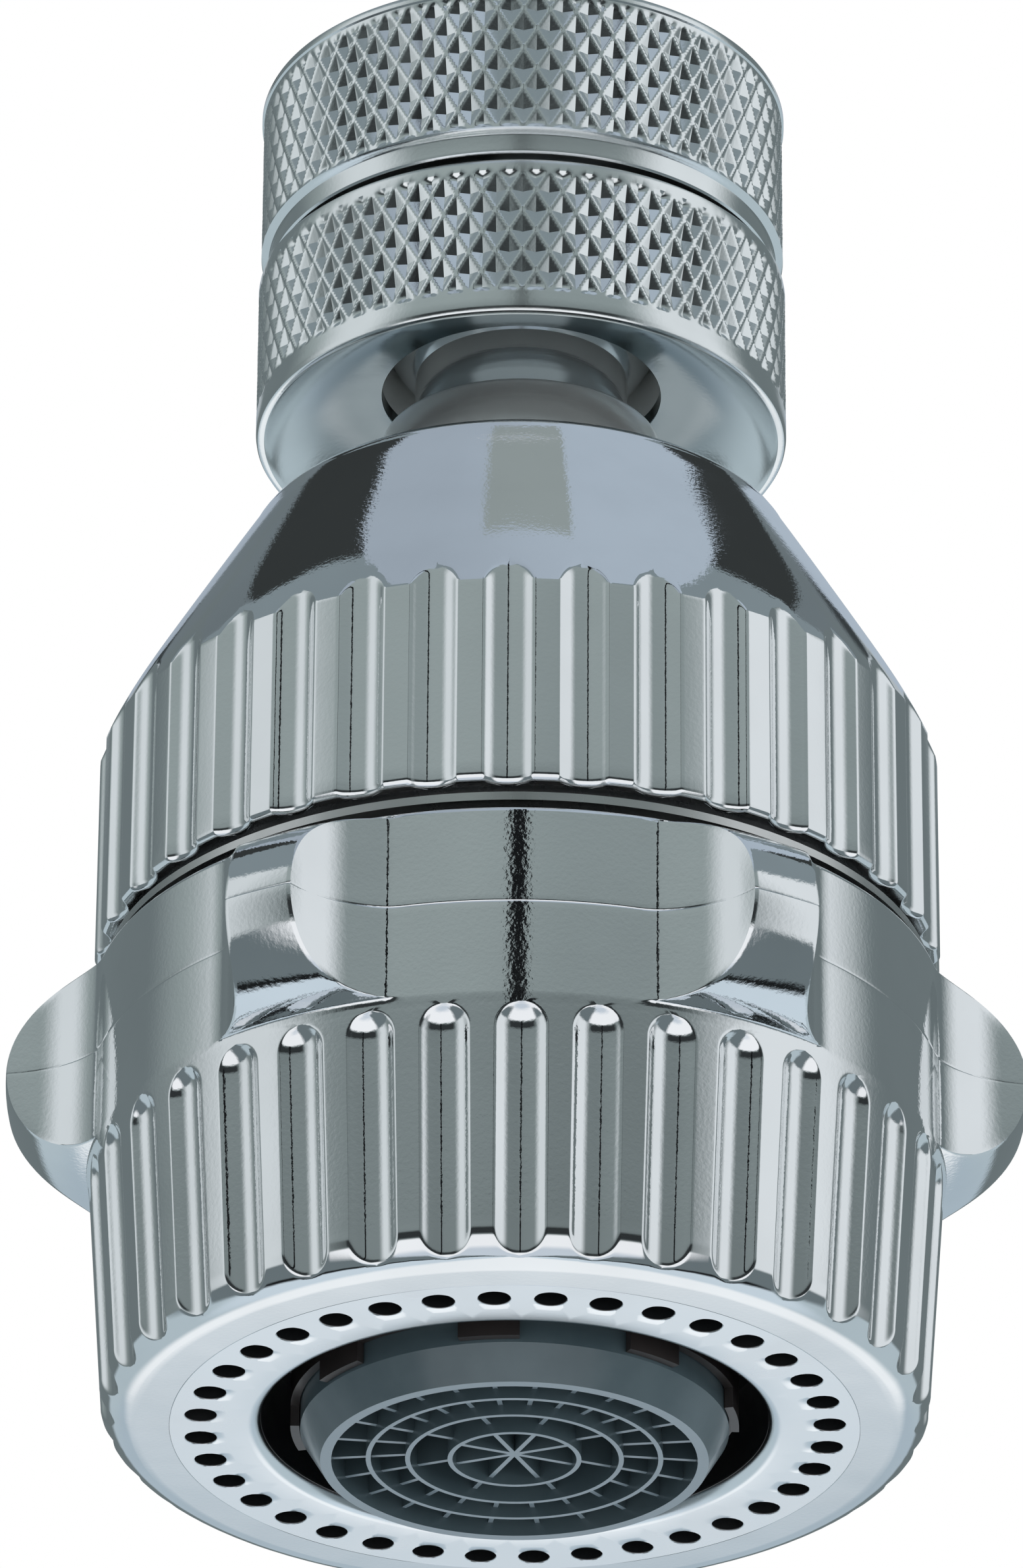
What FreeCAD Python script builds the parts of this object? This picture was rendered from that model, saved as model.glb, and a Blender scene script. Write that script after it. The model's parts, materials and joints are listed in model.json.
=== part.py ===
"""Tap aerator: a chromed twist head that hangs on a ball joint under a tap spout.

The head gives a straight aerated jet from its middle, or a ring of spray when the lobed sleeve is twisted.
The origin is the middle of the inlet's mouth and +Z runs up into the tap, so the head hangs below it.
"""
import FreeCAD, Part
import math
import os

from FreeCAD import Vector

# The stack, in millimetres from the flat spray face up. Heights are above that face.
SLEEVE_TOP = 24.4
SEAM = 1.5
HOUSING_LENGTH = 25.4
BALL_ABOVE_HOUSING = 16.1
INLET_ABOVE_BALL = 10.6
JET_DROP = 1.7

# Clearances, and how far a cutter passes the face that it leaves by.
SEAT_GAP = 0.05
RUNNING_GAP = 0.1
CUT_PAST = 1.0

# Inlet adapter, the upper knurled ring, with an M22 x 1 female thread.
THREAD_R = 10.46
THREAD_LENGTH = 4.0
RELIEF_DEPTH = 0.44
ADAPTER_WALL = 3.64
ADAPTER_LENGTH = 10.3
ADAPTER_BAND_INSET = 0.4
ADAPTER_BAND = 1.2
ADAPTER_LIP_STEP = 0.1
ADAPTER_LIP = 0.9
EDGE = 0.2
LEDGE_REACH = 2.0
LEDGE_THICK = 1.0
SPIGOT_WALL = 1.5
SPIGOT_LENGTH = 5.4

# Inlet washer and strainer.
WASHER_THICK = 1.6
WASHER_BORE_R = 7.6
SCREEN_THICK = 0.4
SCREEN_HOLE_R = 0.8
SCREEN_ROWS = (6, 12, 18)
SCREEN_ROW_PITCH = 2.6

# Ball stem.
BALL_R = 8.1
BALL_CUT = 3.6
NECK_R = 5.7
COLLAR_R = 7.45
COLLAR_LENGTH = 6.35
COLLAR_EDGE = 0.2
STEM_THREAD_R = 5.8
STEM_THREAD_LENGTH = 6.8
STEM_BORE_R = 3.2
STEM_MOUTH_R = 5.6
STEM_MOUTH_DEPTH = 4.1

# Ball seal, slip ring and clamp ring, the lower knurled ring with its bell.
BALL_SEAL_R = 0.9
SLIP_RING_TOP_DROP = 1.0
SLIP_RING_LENGTH = 4.8
CLAMP_LENGTH = 9.35
RING_JOINT_GAP = 0.6
CLAMP_LIP_REACH = 2.5
CLAMP_LIP_THICK = 0.9
BELL_EDGE = 0.35
BELL_RIM = 0.5
BELL_BELLY = 3.0
BELL_BELLY_RISE = 2.35

# Upper housing: a fluted drum under a cone.
HOUSING_R = 22.0
DRUM_LENGTH = 11.5
CONE_TOP_INSET = 7.5
CONE_EDGE = 0.6
HOUSING_WALL = 1.8
CHAMBER_STEP = 0.8
BOSS_R = 9.5
BOSS_LENGTH = 5.5
GASKET_THICK = 0.8
GASKET_INSET = 0.25
HOUSING_EDGE = 0.3

# Flutes round both shells, each a shallow part of a round cutter.
FLUTE_COUNT = 36
SLEEVE_FLUTE_R = 1.6
SLEEVE_FLUTE_DEPTH = 0.6
SLEEVE_FLUTE_TOP = 13.3
SLEEVE_TURN = 0.5
HOUSING_FLUTE_R = 1.68
HOUSING_FLUTE_DEPTH = 0.53
HOUSING_TURN = -1.5

# Housing core, port disc and their fixings.
CORE_RISE = 2.6
CORE_FLANGE_THICK = 3.0
CORE_SEAL_R = 0.75
CORE_SKIRT_THICK = 1.35
CORE_BOSS_R = 4.5
CORE_BOSS_HEIGHT = 5.5
PORT_DISC_THICK = 2.0
VALVE_DISC_THICK = 1.5
PORT_COUNT = 3
PORT_R = 2.2
PORT_INSET = 4.0
PORT_SEAL_R = 0.45
SCREW_R = 2.0
SCREW_HEAD_R = 3.8
SCREW_HEAD_THICK = 2.0
SCREW_SOCKET_R = 1.5
SCREW_SOCKET_DEPTH = 1.2
SCREW_GRIP = 4.0
THRUST_WASHER_R = 4.2
THRUST_WASHER_THICK = 0.5
STOP_PIN_R = 1.0
STOP_PIN_INSET = 1.9
STOP_PIN_SEAT = 2.0
TWIST = 60.0

# Black seam ring and bright slide ring between the two shells.
SEAM_RING_WALL = 2.2
SEAM_RING_INSET = 1.4
SEAM_RING_CLEAR = 0.15
SLIDE_RING_INSET = 0.5
SLIDE_RING_THICK = 0.45
SLIDE_RING_RISE = 0.55

# Grip sleeve: a fluted skirt under six lobes.
SLEEVE_STEP = 0.05
SLEEVE_TAPER = 0.9
SLEEVE_FOOT_ROUND = 1.7
SLEEVE_TOP_ROUND = 0.4
SLEEVE_WALL = 2.65
SLEEVE_LIP_REACH = 1.85
SLEEVE_LIP_THICK = 1.4
LOBE_DROP = 5.4
LOBE_COUNT = 6
LOBE_REACH = 4.35
LOBE_ROUND = 5.1
SCALLOP_R = 6.7
SCALLOP_HALF_WIDTH = 6.2
SCALLOP_SINK = 0.95

# Sleeve core: the moulding inside the sleeve that splits jet water from spray water.
CORE_PLATE_THICK = 2.9
DRUM_RISE = 1.6
SKIRT_THICK = 1.15
JET_TUBE_WALL = 2.0
JET_LEDGE = 1.7
JET_LEDGE_THICK = 1.5
HUB_R = 4.5
HUB_LENGTH = 3.0
SPRAY_DUCT_WIDTH = 3.2
SPRAY_DUCT_ROOF = 1.3
SPRAY_DUCT_FLOOR = 0.5
SLOT_DEPTH = 3.2

# Spray plate.
PLATE_FLANGE_THICK = 1.2
SPRAY_HOLE_COUNT = 36
SPRAY_HOLE_R = 0.78
SPRAY_CIRCLE_INSET = 1.5
PLATE_TURN = -3.8
OPENING_GAP = 1.5
OPENING_ROUND = 0.7
OPENING_WALL = 1.0
OPENING_RISE = 5.0

# Jet aerator: castellated collar, straightener, screens, diffuser and regulator.
COLLAR_WALL = 0.5
COLLAR_THREAD_STEP = 0.5
COLLAR_FOOT = 0.15
COLLAR_THREAD_LENGTH = 6.4
CASTELLATION_COUNT = 8
NOTCH_ANGLE = 29.3
NOTCH_DEPTH = 1.1
COLLAR_TURN = -6.8
AERATOR_R = 10.9
AERATOR_TOP = 12.0
AERATOR_RIM_TAPER = 1.04
AERATOR_RIM = 0.56
AERATOR_WALL = 1.0
GRILLE_TOP = 3.5
GRILLE_WALL = 0.25
RING_RECESS = 0.15
FIN_RECESS = 0.7
STAR_RECESS = 0.45
GRILLE_RING_R = (3.4, 5.55, 7.55)
GRILLE_FINS = (8, 8, 24, 24)
MESH_THICK = 0.4
MESH_COUNT = 2
INSERT_GAP = 0.1
DIFFUSER_THICK = 1.5
DIFFUSER_SKIRT = 2.2
DIFFUSER_WALL = 0.9
DIFFUSER_HOLES = 12
DIFFUSER_HOLE_R = 0.6
DIFFUSER_CIRCLE_R = 6.5
REGULATOR_THICK = 3.0
REGULATOR_RING_R = 0.85
REGULATOR_CIRCLE_R = 5.5
REGULATOR_HOLES = 8
REGULATOR_HOLE_R = 0.6
DOME_R = 8.6
DOME_HEIGHT = 3.6
DOME_WALL = 0.5
DOME_RIM = 0.6

# Worked-out heights.
HOUSING_BOTTOM = SLEEVE_TOP + SEAM
HOUSING_TOP = HOUSING_BOTTOM + HOUSING_LENGTH
DRUM_TOP = HOUSING_BOTTOM + DRUM_LENGTH
BALL_HEIGHT = HOUSING_TOP + BALL_ABOVE_HOUSING
INLET_HEIGHT = BALL_HEIGHT + INLET_ABOVE_BALL
ADAPTER_BOTTOM = INLET_HEIGHT - ADAPTER_LENGTH
CLAMP_TOP = ADAPTER_BOTTOM - RING_JOINT_GAP
CLAMP_BOTTOM = CLAMP_TOP - CLAMP_LENGTH
SLIP_RING_TOP = BALL_HEIGHT - SLIP_RING_TOP_DROP
SLIP_RING_BOTTOM = SLIP_RING_TOP - SLIP_RING_LENGTH
WASHER_SEAT = INLET_HEIGHT - THREAD_LENGTH - WASHER_THICK - SCREEN_THICK
LEDGE_BOTTOM = WASHER_SEAT - LEDGE_THICK
CORE_BOTTOM = HOUSING_BOTTOM + CORE_RISE
CORE_TOP = CORE_BOTTOM + CORE_FLANGE_THICK
PORT_DISC_BOTTOM = CORE_BOTTOM - PORT_DISC_THICK
VALVE_DISC_TOP = PORT_DISC_BOTTOM - RUNNING_GAP
VALVE_DISC_BOTTOM = VALVE_DISC_TOP - VALVE_DISC_THICK
PLATE_BOTTOM = SLEEVE_TOP - CORE_PLATE_THICK
HUB_BOTTOM = PLATE_BOTTOM - HUB_LENGTH
THRUST_WASHER_TOP = HUB_BOTTOM - RUNNING_GAP
LOBE_HEIGHT = SLEEVE_TOP - LOBE_DROP
PLATE_FLANGE_TOP = SLEEVE_LIP_THICK + PLATE_FLANGE_THICK
SKIRT_FOOT = PLATE_FLANGE_TOP + GASKET_THICK
JET_TUBE_FOOT = OPENING_RISE + GASKET_THICK
AERATOR_SEAL_TOP = AERATOR_TOP + GASKET_THICK
MESH_TOP = GRILLE_TOP + MESH_COUNT * MESH_THICK
DIFFUSER_BOTTOM = MESH_TOP + DIFFUSER_SKIRT
REGULATOR_BOTTOM = DIFFUSER_BOTTOM + DIFFUSER_THICK
REGULATOR_TOP = REGULATOR_BOTTOM + REGULATOR_THICK

# Worked-out radii.
GASKET_R = COLLAR_R - GASKET_INSET
RELIEF_R = THREAD_R + RELIEF_DEPTH
ADAPTER_R = THREAD_R + ADAPTER_WALL
ADAPTER_LIP_R = ADAPTER_R + ADAPTER_LIP_STEP
SOCKET_R = BALL_R + 2 * RUNNING_GAP
BALL_SEAL_CIRCLE_R = BALL_R + RUNNING_GAP + BALL_SEAL_R
SPIGOT_BORE_R = BALL_SEAL_CIRCLE_R + BALL_SEAL_R + RUNNING_GAP
SPIGOT_R = SPIGOT_BORE_R + SPIGOT_WALL
SLIP_RING_R = SPIGOT_BORE_R - RUNNING_GAP
CLAMP_BORE_R = SPIGOT_R + SEAT_GAP
CLAMP_R = ADAPTER_LIP_R
CLAMP_LIP_R = SLIP_RING_R - CLAMP_LIP_REACH
CONE_TOP_R = HOUSING_R - CONE_TOP_INSET
HOUSING_BORE_R = HOUSING_R - HOUSING_WALL
CHAMBER_BORE_R = HOUSING_BORE_R - CHAMBER_STEP
SEAM_RING_BORE_R = HOUSING_BORE_R - SEAM_RING_WALL
SEAM_RING_R = HOUSING_R - SEAM_RING_INSET
SLIDE_RING_R = HOUSING_R - SLIDE_RING_INSET
DRUM_R = SEAM_RING_BORE_R - RUNNING_GAP
STOP_PIN_CIRCLE_R = DRUM_R - STOP_PIN_INSET
DISC_R = STOP_PIN_CIRCLE_R - STOP_PIN_R - RUNNING_GAP - CORE_SKIRT_THICK - SEAT_GAP
PORT_CIRCLE_R = DISC_R - PORT_INSET
SLEEVE_R = HOUSING_R + SLEEVE_STEP
SLEEVE_FOOT_R = SLEEVE_R - SLEEVE_TAPER
SLEEVE_BORE_R = SLEEVE_R - SLEEVE_WALL
SLEEVE_LIP_BORE_R = SLEEVE_BORE_R - SLEEVE_LIP_REACH
LOBE_R = SLEEVE_R + LOBE_REACH
PLATE_R = SLEEVE_LIP_BORE_R - SEAT_GAP
SPRAY_CIRCLE_R = PLATE_R - SPRAY_CIRCLE_INSET
AERATOR_RIM_R = AERATOR_R - AERATOR_RIM_TAPER
AERATOR_BORE_R = AERATOR_R - AERATOR_WALL
INSERT_R = AERATOR_BORE_R - INSERT_GAP
COLLAR_TUBE_R = AERATOR_R + COLLAR_WALL
JET_TUBE_BORE_R = COLLAR_TUBE_R + COLLAR_THREAD_STEP
JET_TUBE_R = JET_TUBE_BORE_R + JET_TUBE_WALL
JET_LEDGE_BORE_R = JET_TUBE_BORE_R - JET_LEDGE
OPENING_R = COLLAR_TUBE_R + OPENING_GAP
SPRAY_DUCT_R = JET_TUBE_R + SPRAY_DUCT_WIDTH / 2

AXIS = Vector(0, 0, 1)
FRONT = -90.0


def level(height):
    """The frame's z of a height above the spray face."""
    return height - INLET_HEIGHT


def place(radius, angle, height=0.0):
    """A point at a radius and an angle in degrees round the axis, at a height."""
    turn = math.radians(angle)
    return Vector(radius * math.cos(turn), radius * math.sin(turn), level(height))


def spread(count, start=0.0):
    """Evenly spaced angles in degrees, from a start angle."""
    return [start + 360.0 * step / count for step in range(count)]


def turned(*outline):
    """A solid of revolution. A point is (radius, height), and four numbers are an arc's middle and end."""
    edges = []
    here = Vector(outline[0][0], 0, level(outline[0][1]))
    for step in outline[1:] + outline[:1]:
        there = Vector(step[-2], 0, level(step[-1]))
        if len(step) == 4:
            middle = Vector(step[0], 0, level(step[1]))
            edges.append(Part.Arc(here, middle, there).toShape())
        else:
            edges.append(Part.LineSegment(here, there).toShape())
        here = there
    return Part.Face(Part.Wire(edges)).revolve(Vector(), AXIS, 360)


def ring(inner_r, outer_r, bottom, top):
    """A plain ring between two heights; a disc when the inner radius is 0."""
    outer = Part.makeCylinder(outer_r, top - bottom, Vector(0, 0, level(bottom)))
    if inner_r == 0:
        return outer
    return outer.cut(Part.makeCylinder(inner_r, top - bottom, Vector(0, 0, level(bottom))))


def peg(radius, bottom, top, circle_r, angle):
    """An upright cylinder on a circle round the axis."""
    return Part.makeCylinder(radius, top - bottom, place(circle_r, angle, bottom))


def pegs(radius, bottom, top, circle_r, angles):
    """Upright cylinders on a circle, as cutters or pins."""
    return [peg(radius, bottom, top, circle_r, angle) for angle in angles]


def o_ring(circle_r, section_r, height, centre=Vector()):
    """A round seal lying flat."""
    return Part.makeTorus(circle_r, section_r, centre + Vector(0, 0, level(height)))


def on_ball(radius, height):
    """The radius of a sphere about the ball's centre, at a height."""
    return math.sqrt(radius ** 2 - (height - BALL_HEIGHT) ** 2)


def ball_arc(radius, start, end):
    """An arc step along such a sphere, from one height to another."""
    low = math.asin((start - BALL_HEIGHT) / radius)
    high = math.asin((end - BALL_HEIGHT) / radius)
    middle = (low + high) / 2
    return (radius * math.cos(middle), BALL_HEIGHT + radius * math.sin(middle), on_ball(radius, end), end)


def inlet_adapter():
    """Upper knurled ring: female thread and washer ledge above, plain bore and threaded spigot below."""
    spigot_bottom = ADAPTER_BOTTOM - SPIGOT_LENGTH
    thread_bottom = INLET_HEIGHT - THREAD_LENGTH
    ledge_r = RELIEF_R - LEDGE_REACH
    band_r = ADAPTER_R - ADAPTER_BAND_INSET
    return turned(
        (SPIGOT_BORE_R, spigot_bottom),
        (SPIGOT_R, spigot_bottom),
        (SPIGOT_R, ADAPTER_BOTTOM),
        (band_r - EDGE, ADAPTER_BOTTOM),
        (band_r, ADAPTER_BOTTOM + EDGE),
        (band_r, ADAPTER_BOTTOM + ADAPTER_BAND),
        (ADAPTER_R, ADAPTER_BOTTOM + ADAPTER_BAND + EDGE),
        (ADAPTER_R, INLET_HEIGHT - ADAPTER_LIP - EDGE),
        (ADAPTER_LIP_R, INLET_HEIGHT - ADAPTER_LIP),
        (ADAPTER_LIP_R, INLET_HEIGHT - EDGE),
        (ADAPTER_LIP_R - EDGE, INLET_HEIGHT),
        (THREAD_R, INLET_HEIGHT),
        (THREAD_R, thread_bottom),
        (RELIEF_R, thread_bottom),
        (RELIEF_R, WASHER_SEAT),
        (ledge_r, WASHER_SEAT),
        (ledge_r, LEDGE_BOTTOM),
        (SPIGOT_BORE_R, LEDGE_BOTTOM),
    )


def ball_seat():
    """Hard plastic seat above the ball, under the adapter's ledge."""
    bottom = BALL_HEIGHT + BALL_SEAL_R + SEAT_GAP
    outer_r = SPIGOT_BORE_R - SEAT_GAP
    return turned(
        (outer_r, bottom),
        (outer_r, LEDGE_BOTTOM),
        (on_ball(SOCKET_R, LEDGE_BOTTOM), LEDGE_BOTTOM),
        ball_arc(SOCKET_R, LEDGE_BOTTOM, bottom),
    )


def ball_seal():
    """Rubber ring round the ball's middle, between the seat and the slip ring."""
    return o_ring(BALL_SEAL_CIRCLE_R, BALL_SEAL_R, BALL_HEIGHT)


def inlet_washer():
    """Flat rubber washer in the thread's run-out groove."""
    return ring(WASHER_BORE_R, RELIEF_R - SEAT_GAP, WASHER_SEAT, WASHER_SEAT + WASHER_THICK)


def inlet_screen():
    """Perforated strainer disc on the washer."""
    bottom = WASHER_SEAT + WASHER_THICK
    top = bottom + SCREEN_THICK
    holes = pegs(SCREEN_HOLE_R, bottom, top, 0, (0,))
    for row, count in enumerate(SCREEN_ROWS):
        holes += pegs(SCREEN_HOLE_R, bottom, top, SCREEN_ROW_PITCH * (row + 1), spread(count))
    return ring(0, RELIEF_R - SEAT_GAP, bottom, top).cut(holes)


def clamp_ring():
    """Lower knurled ring: threaded above, with a lip under the slip ring and an open bell below."""
    lip_bottom = SLIP_RING_BOTTOM - CLAMP_LIP_THICK
    return turned(
        (CLAMP_LIP_R, SLIP_RING_BOTTOM),
        (CLAMP_BORE_R, SLIP_RING_BOTTOM),
        (CLAMP_BORE_R, CLAMP_TOP),
        (CLAMP_R - EDGE, CLAMP_TOP),
        (CLAMP_R, CLAMP_TOP - EDGE),
        (CLAMP_R, CLAMP_BOTTOM + BELL_EDGE),
        (CLAMP_R - EDGE, CLAMP_BOTTOM),
        (CLAMP_R - BELL_RIM, CLAMP_BOTTOM),
        (CLAMP_R - BELL_BELLY, CLAMP_BOTTOM + BELL_BELLY_RISE, CLAMP_LIP_R, lip_bottom),
    )


def slip_ring():
    """Hard plastic ring that carries the ball's underside, over a bore that lets the neck tilt."""
    seat_r = BALL_R + RUNNING_GAP
    seat_bottom = BALL_HEIGHT - math.sqrt(seat_r ** 2 - CLAMP_LIP_R ** 2)
    return turned(
        (SLIP_RING_R, SLIP_RING_BOTTOM),
        (SLIP_RING_R, SLIP_RING_TOP),
        (on_ball(seat_r, SLIP_RING_TOP), SLIP_RING_TOP),
        ball_arc(seat_r, SLIP_RING_TOP, seat_bottom),
        (CLAMP_LIP_R, SLIP_RING_BOTTOM),
    )


def ball_stem():
    """Hollow ball, neck, collar and threaded end in one turned piece."""
    collar_top = HOUSING_TOP + COLLAR_LENGTH
    ball_top = BALL_HEIGHT + BALL_CUT
    neck_top = BALL_HEIGHT - math.sqrt(BALL_R ** 2 - NECK_R ** 2)
    return turned(
        (STEM_BORE_R, HOUSING_TOP - STEM_THREAD_LENGTH),
        (STEM_THREAD_R, HOUSING_TOP - STEM_THREAD_LENGTH),
        (STEM_THREAD_R, HOUSING_TOP),
        (COLLAR_R, HOUSING_TOP),
        (COLLAR_R, collar_top - COLLAR_EDGE),
        (COLLAR_R - COLLAR_EDGE, collar_top),
        (NECK_R, collar_top),
        (NECK_R, neck_top),
        (BALL_R, BALL_HEIGHT, on_ball(BALL_R, ball_top), ball_top),
        (STEM_MOUTH_R, ball_top),
        (STEM_BORE_R, ball_top - STEM_MOUTH_DEPTH),
    )


def stem_gasket():
    """Flat gasket under the stem's collar."""
    return ring(STEM_THREAD_R + SEAT_GAP, GASKET_R, HOUSING_TOP - GASKET_THICK, HOUSING_TOP)


def flute_cutters(cutter_r, centre_r, foot_r, bottom, top, rounded, angles):
    """Round cutters down a shell. Their axes run from a radius at the top to another at the bottom."""
    cutters = []
    for angle in angles:
        foot = place(foot_r, angle, bottom)
        head = place(centre_r, angle, top)
        cutters.append(Part.makeCylinder(cutter_r, (head - foot).Length, foot, head - foot))
        if rounded:
            cutters.append(Part.makeSphere(cutter_r, head))
    return cutters


def upper_housing():
    """Fluted drum and cone, with the threaded boss for the stem inside its top."""
    slope = (HOUSING_R - CONE_TOP_R) / (HOUSING_TOP - CONE_EDGE - DRUM_TOP)
    cone_wall = HOUSING_WALL * math.hypot(1, slope)
    roof = HOUSING_TOP - HOUSING_WALL - CONE_EDGE
    roof_r = HOUSING_R - slope * (roof - DRUM_TOP) - cone_wall
    shoulder = DRUM_TOP + (HOUSING_R - cone_wall - CHAMBER_BORE_R) / slope
    bore_r = STEM_THREAD_R + SEAT_GAP
    shell = turned(
        (HOUSING_BORE_R, HOUSING_BOTTOM),
        (HOUSING_R - HOUSING_EDGE, HOUSING_BOTTOM),
        (HOUSING_R, HOUSING_BOTTOM + HOUSING_EDGE),
        (HOUSING_R, DRUM_TOP),
        (CONE_TOP_R, HOUSING_TOP - CONE_EDGE),
        (CONE_TOP_R - CONE_EDGE, HOUSING_TOP),
        (GASKET_R + SEAT_GAP, HOUSING_TOP),
        (GASKET_R + SEAT_GAP, HOUSING_TOP - GASKET_THICK),
        (bore_r, HOUSING_TOP - GASKET_THICK),
        (bore_r, HOUSING_TOP - GASKET_THICK - BOSS_LENGTH),
        (BOSS_R, HOUSING_TOP - GASKET_THICK - BOSS_LENGTH),
        (BOSS_R, roof),
        (roof_r, roof),
        (CHAMBER_BORE_R, shoulder),
        (CHAMBER_BORE_R, CORE_TOP),
        (HOUSING_BORE_R, CORE_TOP),
    )
    centre_r = HOUSING_R + HOUSING_FLUTE_R - HOUSING_FLUTE_DEPTH
    angles = spread(FLUTE_COUNT, FRONT + HOUSING_TURN)
    bottom = HOUSING_BOTTOM - CUT_PAST
    return shell.cut(flute_cutters(HOUSING_FLUTE_R, centre_r, centre_r, bottom, HOUSING_TOP, False, angles))


def port_angles():
    """The fixed ports, which stand over the jet ports at rest."""
    return spread(PORT_COUNT, 180.0 / LOBE_COUNT)


def stop_pin_angles():
    """Stop pins, each at one end of its slot at rest."""
    return spread(PORT_COUNT, 180.0 / LOBE_COUNT + TWIST / 2)


def housing_core():
    """Plastic plug in the housing: ports, a boss for the centre screw and a skirt round the port disc."""
    rim_r = HOUSING_BORE_R - SEAT_GAP
    groove_r = HOUSING_BORE_R - 2 * (CORE_SEAL_R + SEAT_GAP)
    groove_half = CORE_SEAL_R + SEAT_GAP
    middle = (CORE_TOP + CORE_BOTTOM) / 2
    recess_r = DISC_R + SEAT_GAP
    skirt_r = DISC_R + CORE_SKIRT_THICK
    boss_top = CORE_TOP + CORE_BOSS_HEIGHT
    plug = turned(
        (0, CORE_BOTTOM),
        (recess_r, CORE_BOTTOM),
        (recess_r, PORT_DISC_BOTTOM),
        (skirt_r, PORT_DISC_BOTTOM),
        (skirt_r, CORE_BOTTOM),
        (rim_r, CORE_BOTTOM),
        (rim_r, middle - groove_half),
        (groove_r, middle - groove_half),
        (groove_r, middle + groove_half),
        (rim_r, middle + groove_half),
        (rim_r, CORE_TOP),
        (CORE_BOSS_R, CORE_TOP),
        (CORE_BOSS_R, boss_top),
        (0, boss_top),
    )
    cuts = pegs(PORT_R, CORE_BOTTOM, CORE_TOP, PORT_CIRCLE_R, port_angles())
    cuts += pegs(STOP_PIN_R, CORE_BOTTOM, CORE_BOTTOM + STOP_PIN_SEAT, STOP_PIN_CIRCLE_R, stop_pin_angles())
    cuts += pegs(SCREW_R, CORE_BOTTOM, screw_top(), 0, (0,))
    return plug.cut(cuts)


def core_seal():
    """Round seal in the plug's rim groove."""
    return o_ring(HOUSING_BORE_R - CORE_SEAL_R - SEAT_GAP, CORE_SEAL_R, (CORE_TOP + CORE_BOTTOM) / 2)


def port_disc():
    """Fixed ceramic disc with three ports, each with a groove for its seal."""
    disc = ring(SCREW_R + RUNNING_GAP, DISC_R, PORT_DISC_BOTTOM, CORE_BOTTOM)
    cuts = pegs(PORT_R, PORT_DISC_BOTTOM, CORE_BOTTOM, PORT_CIRCLE_R, port_angles())
    for angle in port_angles():
        depth = 2 * PORT_SEAL_R
        seat = peg(PORT_R + 3 * PORT_SEAL_R, CORE_BOTTOM - depth, CORE_BOTTOM, PORT_CIRCLE_R, angle)
        cuts.append(seat)
    return disc.cut(cuts)


def port_seals():
    """Three round seals between the port disc and the plug."""
    circle_r = PORT_R + 2 * PORT_SEAL_R - SEAT_GAP
    height = CORE_BOTTOM - PORT_SEAL_R
    rings = [o_ring(circle_r, PORT_SEAL_R, height, place(PORT_CIRCLE_R, angle, INLET_HEIGHT))
             for angle in port_angles()]
    return Part.makeCompound(rings)


def screw_top():
    """Height of the centre screw's tip, inside the plug's boss."""
    return CORE_TOP + SCREW_GRIP


def centre_screw():
    """Screw that holds the sleeve core up against the port disc, and lets it turn."""
    head_top = THRUST_WASHER_TOP - THRUST_WASHER_THICK
    head_bottom = head_top - SCREW_HEAD_THICK
    screw = turned(
        (0, head_bottom),
        (SCREW_HEAD_R - EDGE, head_bottom),
        (SCREW_HEAD_R, head_bottom + EDGE),
        (SCREW_HEAD_R, head_top),
        (SCREW_R, head_top),
        (SCREW_R, screw_top()),
        (0, screw_top()),
    )
    socket = Part.makePolygon([place(SCREW_SOCKET_R, angle, head_bottom) for angle in spread(6)] +
                              [place(SCREW_SOCKET_R, 0, head_bottom)])
    return screw.cut(Part.Face(socket).extrude(Vector(0, 0, SCREW_SOCKET_DEPTH)))


def thrust_washer():
    """Steel washer between the screw's head and the sleeve core's hub."""
    bottom = THRUST_WASHER_TOP - THRUST_WASHER_THICK
    return ring(SCREW_R + SEAT_GAP, THRUST_WASHER_R, bottom, THRUST_WASHER_TOP)


def stop_pins():
    """Three pins that end the sleeve's twist, pressed into the plug."""
    bottom = SLEEVE_TOP + DRUM_RISE - SLOT_DEPTH + RUNNING_GAP
    return Part.makeCompound(
        pegs(STOP_PIN_R, bottom, CORE_BOTTOM + STOP_PIN_SEAT, STOP_PIN_CIRCLE_R, stop_pin_angles()))


def seam_ring():
    """Black retaining ring: screwed into the housing, and seen in the seam."""
    bottom = SLEEVE_TOP + SEAM_RING_CLEAR
    return turned(
        (SEAM_RING_BORE_R, bottom),
        (SEAM_RING_R, bottom),
        (SEAM_RING_R, HOUSING_BOTTOM),
        (HOUSING_BORE_R - SEAT_GAP, HOUSING_BOTTOM),
        (HOUSING_BORE_R - SEAT_GAP, CORE_BOTTOM),
        (SEAM_RING_BORE_R, CORE_BOTTOM),
    )


def slide_ring():
    """Bright ring round the seam ring."""
    bottom = SLEEVE_TOP + SLIDE_RING_RISE
    return ring(SEAM_RING_R, SLIDE_RING_R, bottom, bottom + SLIDE_RING_THICK)


def lobe_ring():
    """Round bulge about the sleeve, before the scallops divide it into lobes."""
    centre_r = LOBE_R - LOBE_ROUND
    root_r = (SLEEVE_BORE_R + SLEEVE_R) / 2
    reach = math.sqrt(LOBE_ROUND ** 2 - (centre_r - root_r) ** 2)
    return turned(
        (root_r, LOBE_HEIGHT - reach),
        (LOBE_R, LOBE_HEIGHT, root_r, LOBE_HEIGHT + reach),
    )


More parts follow.
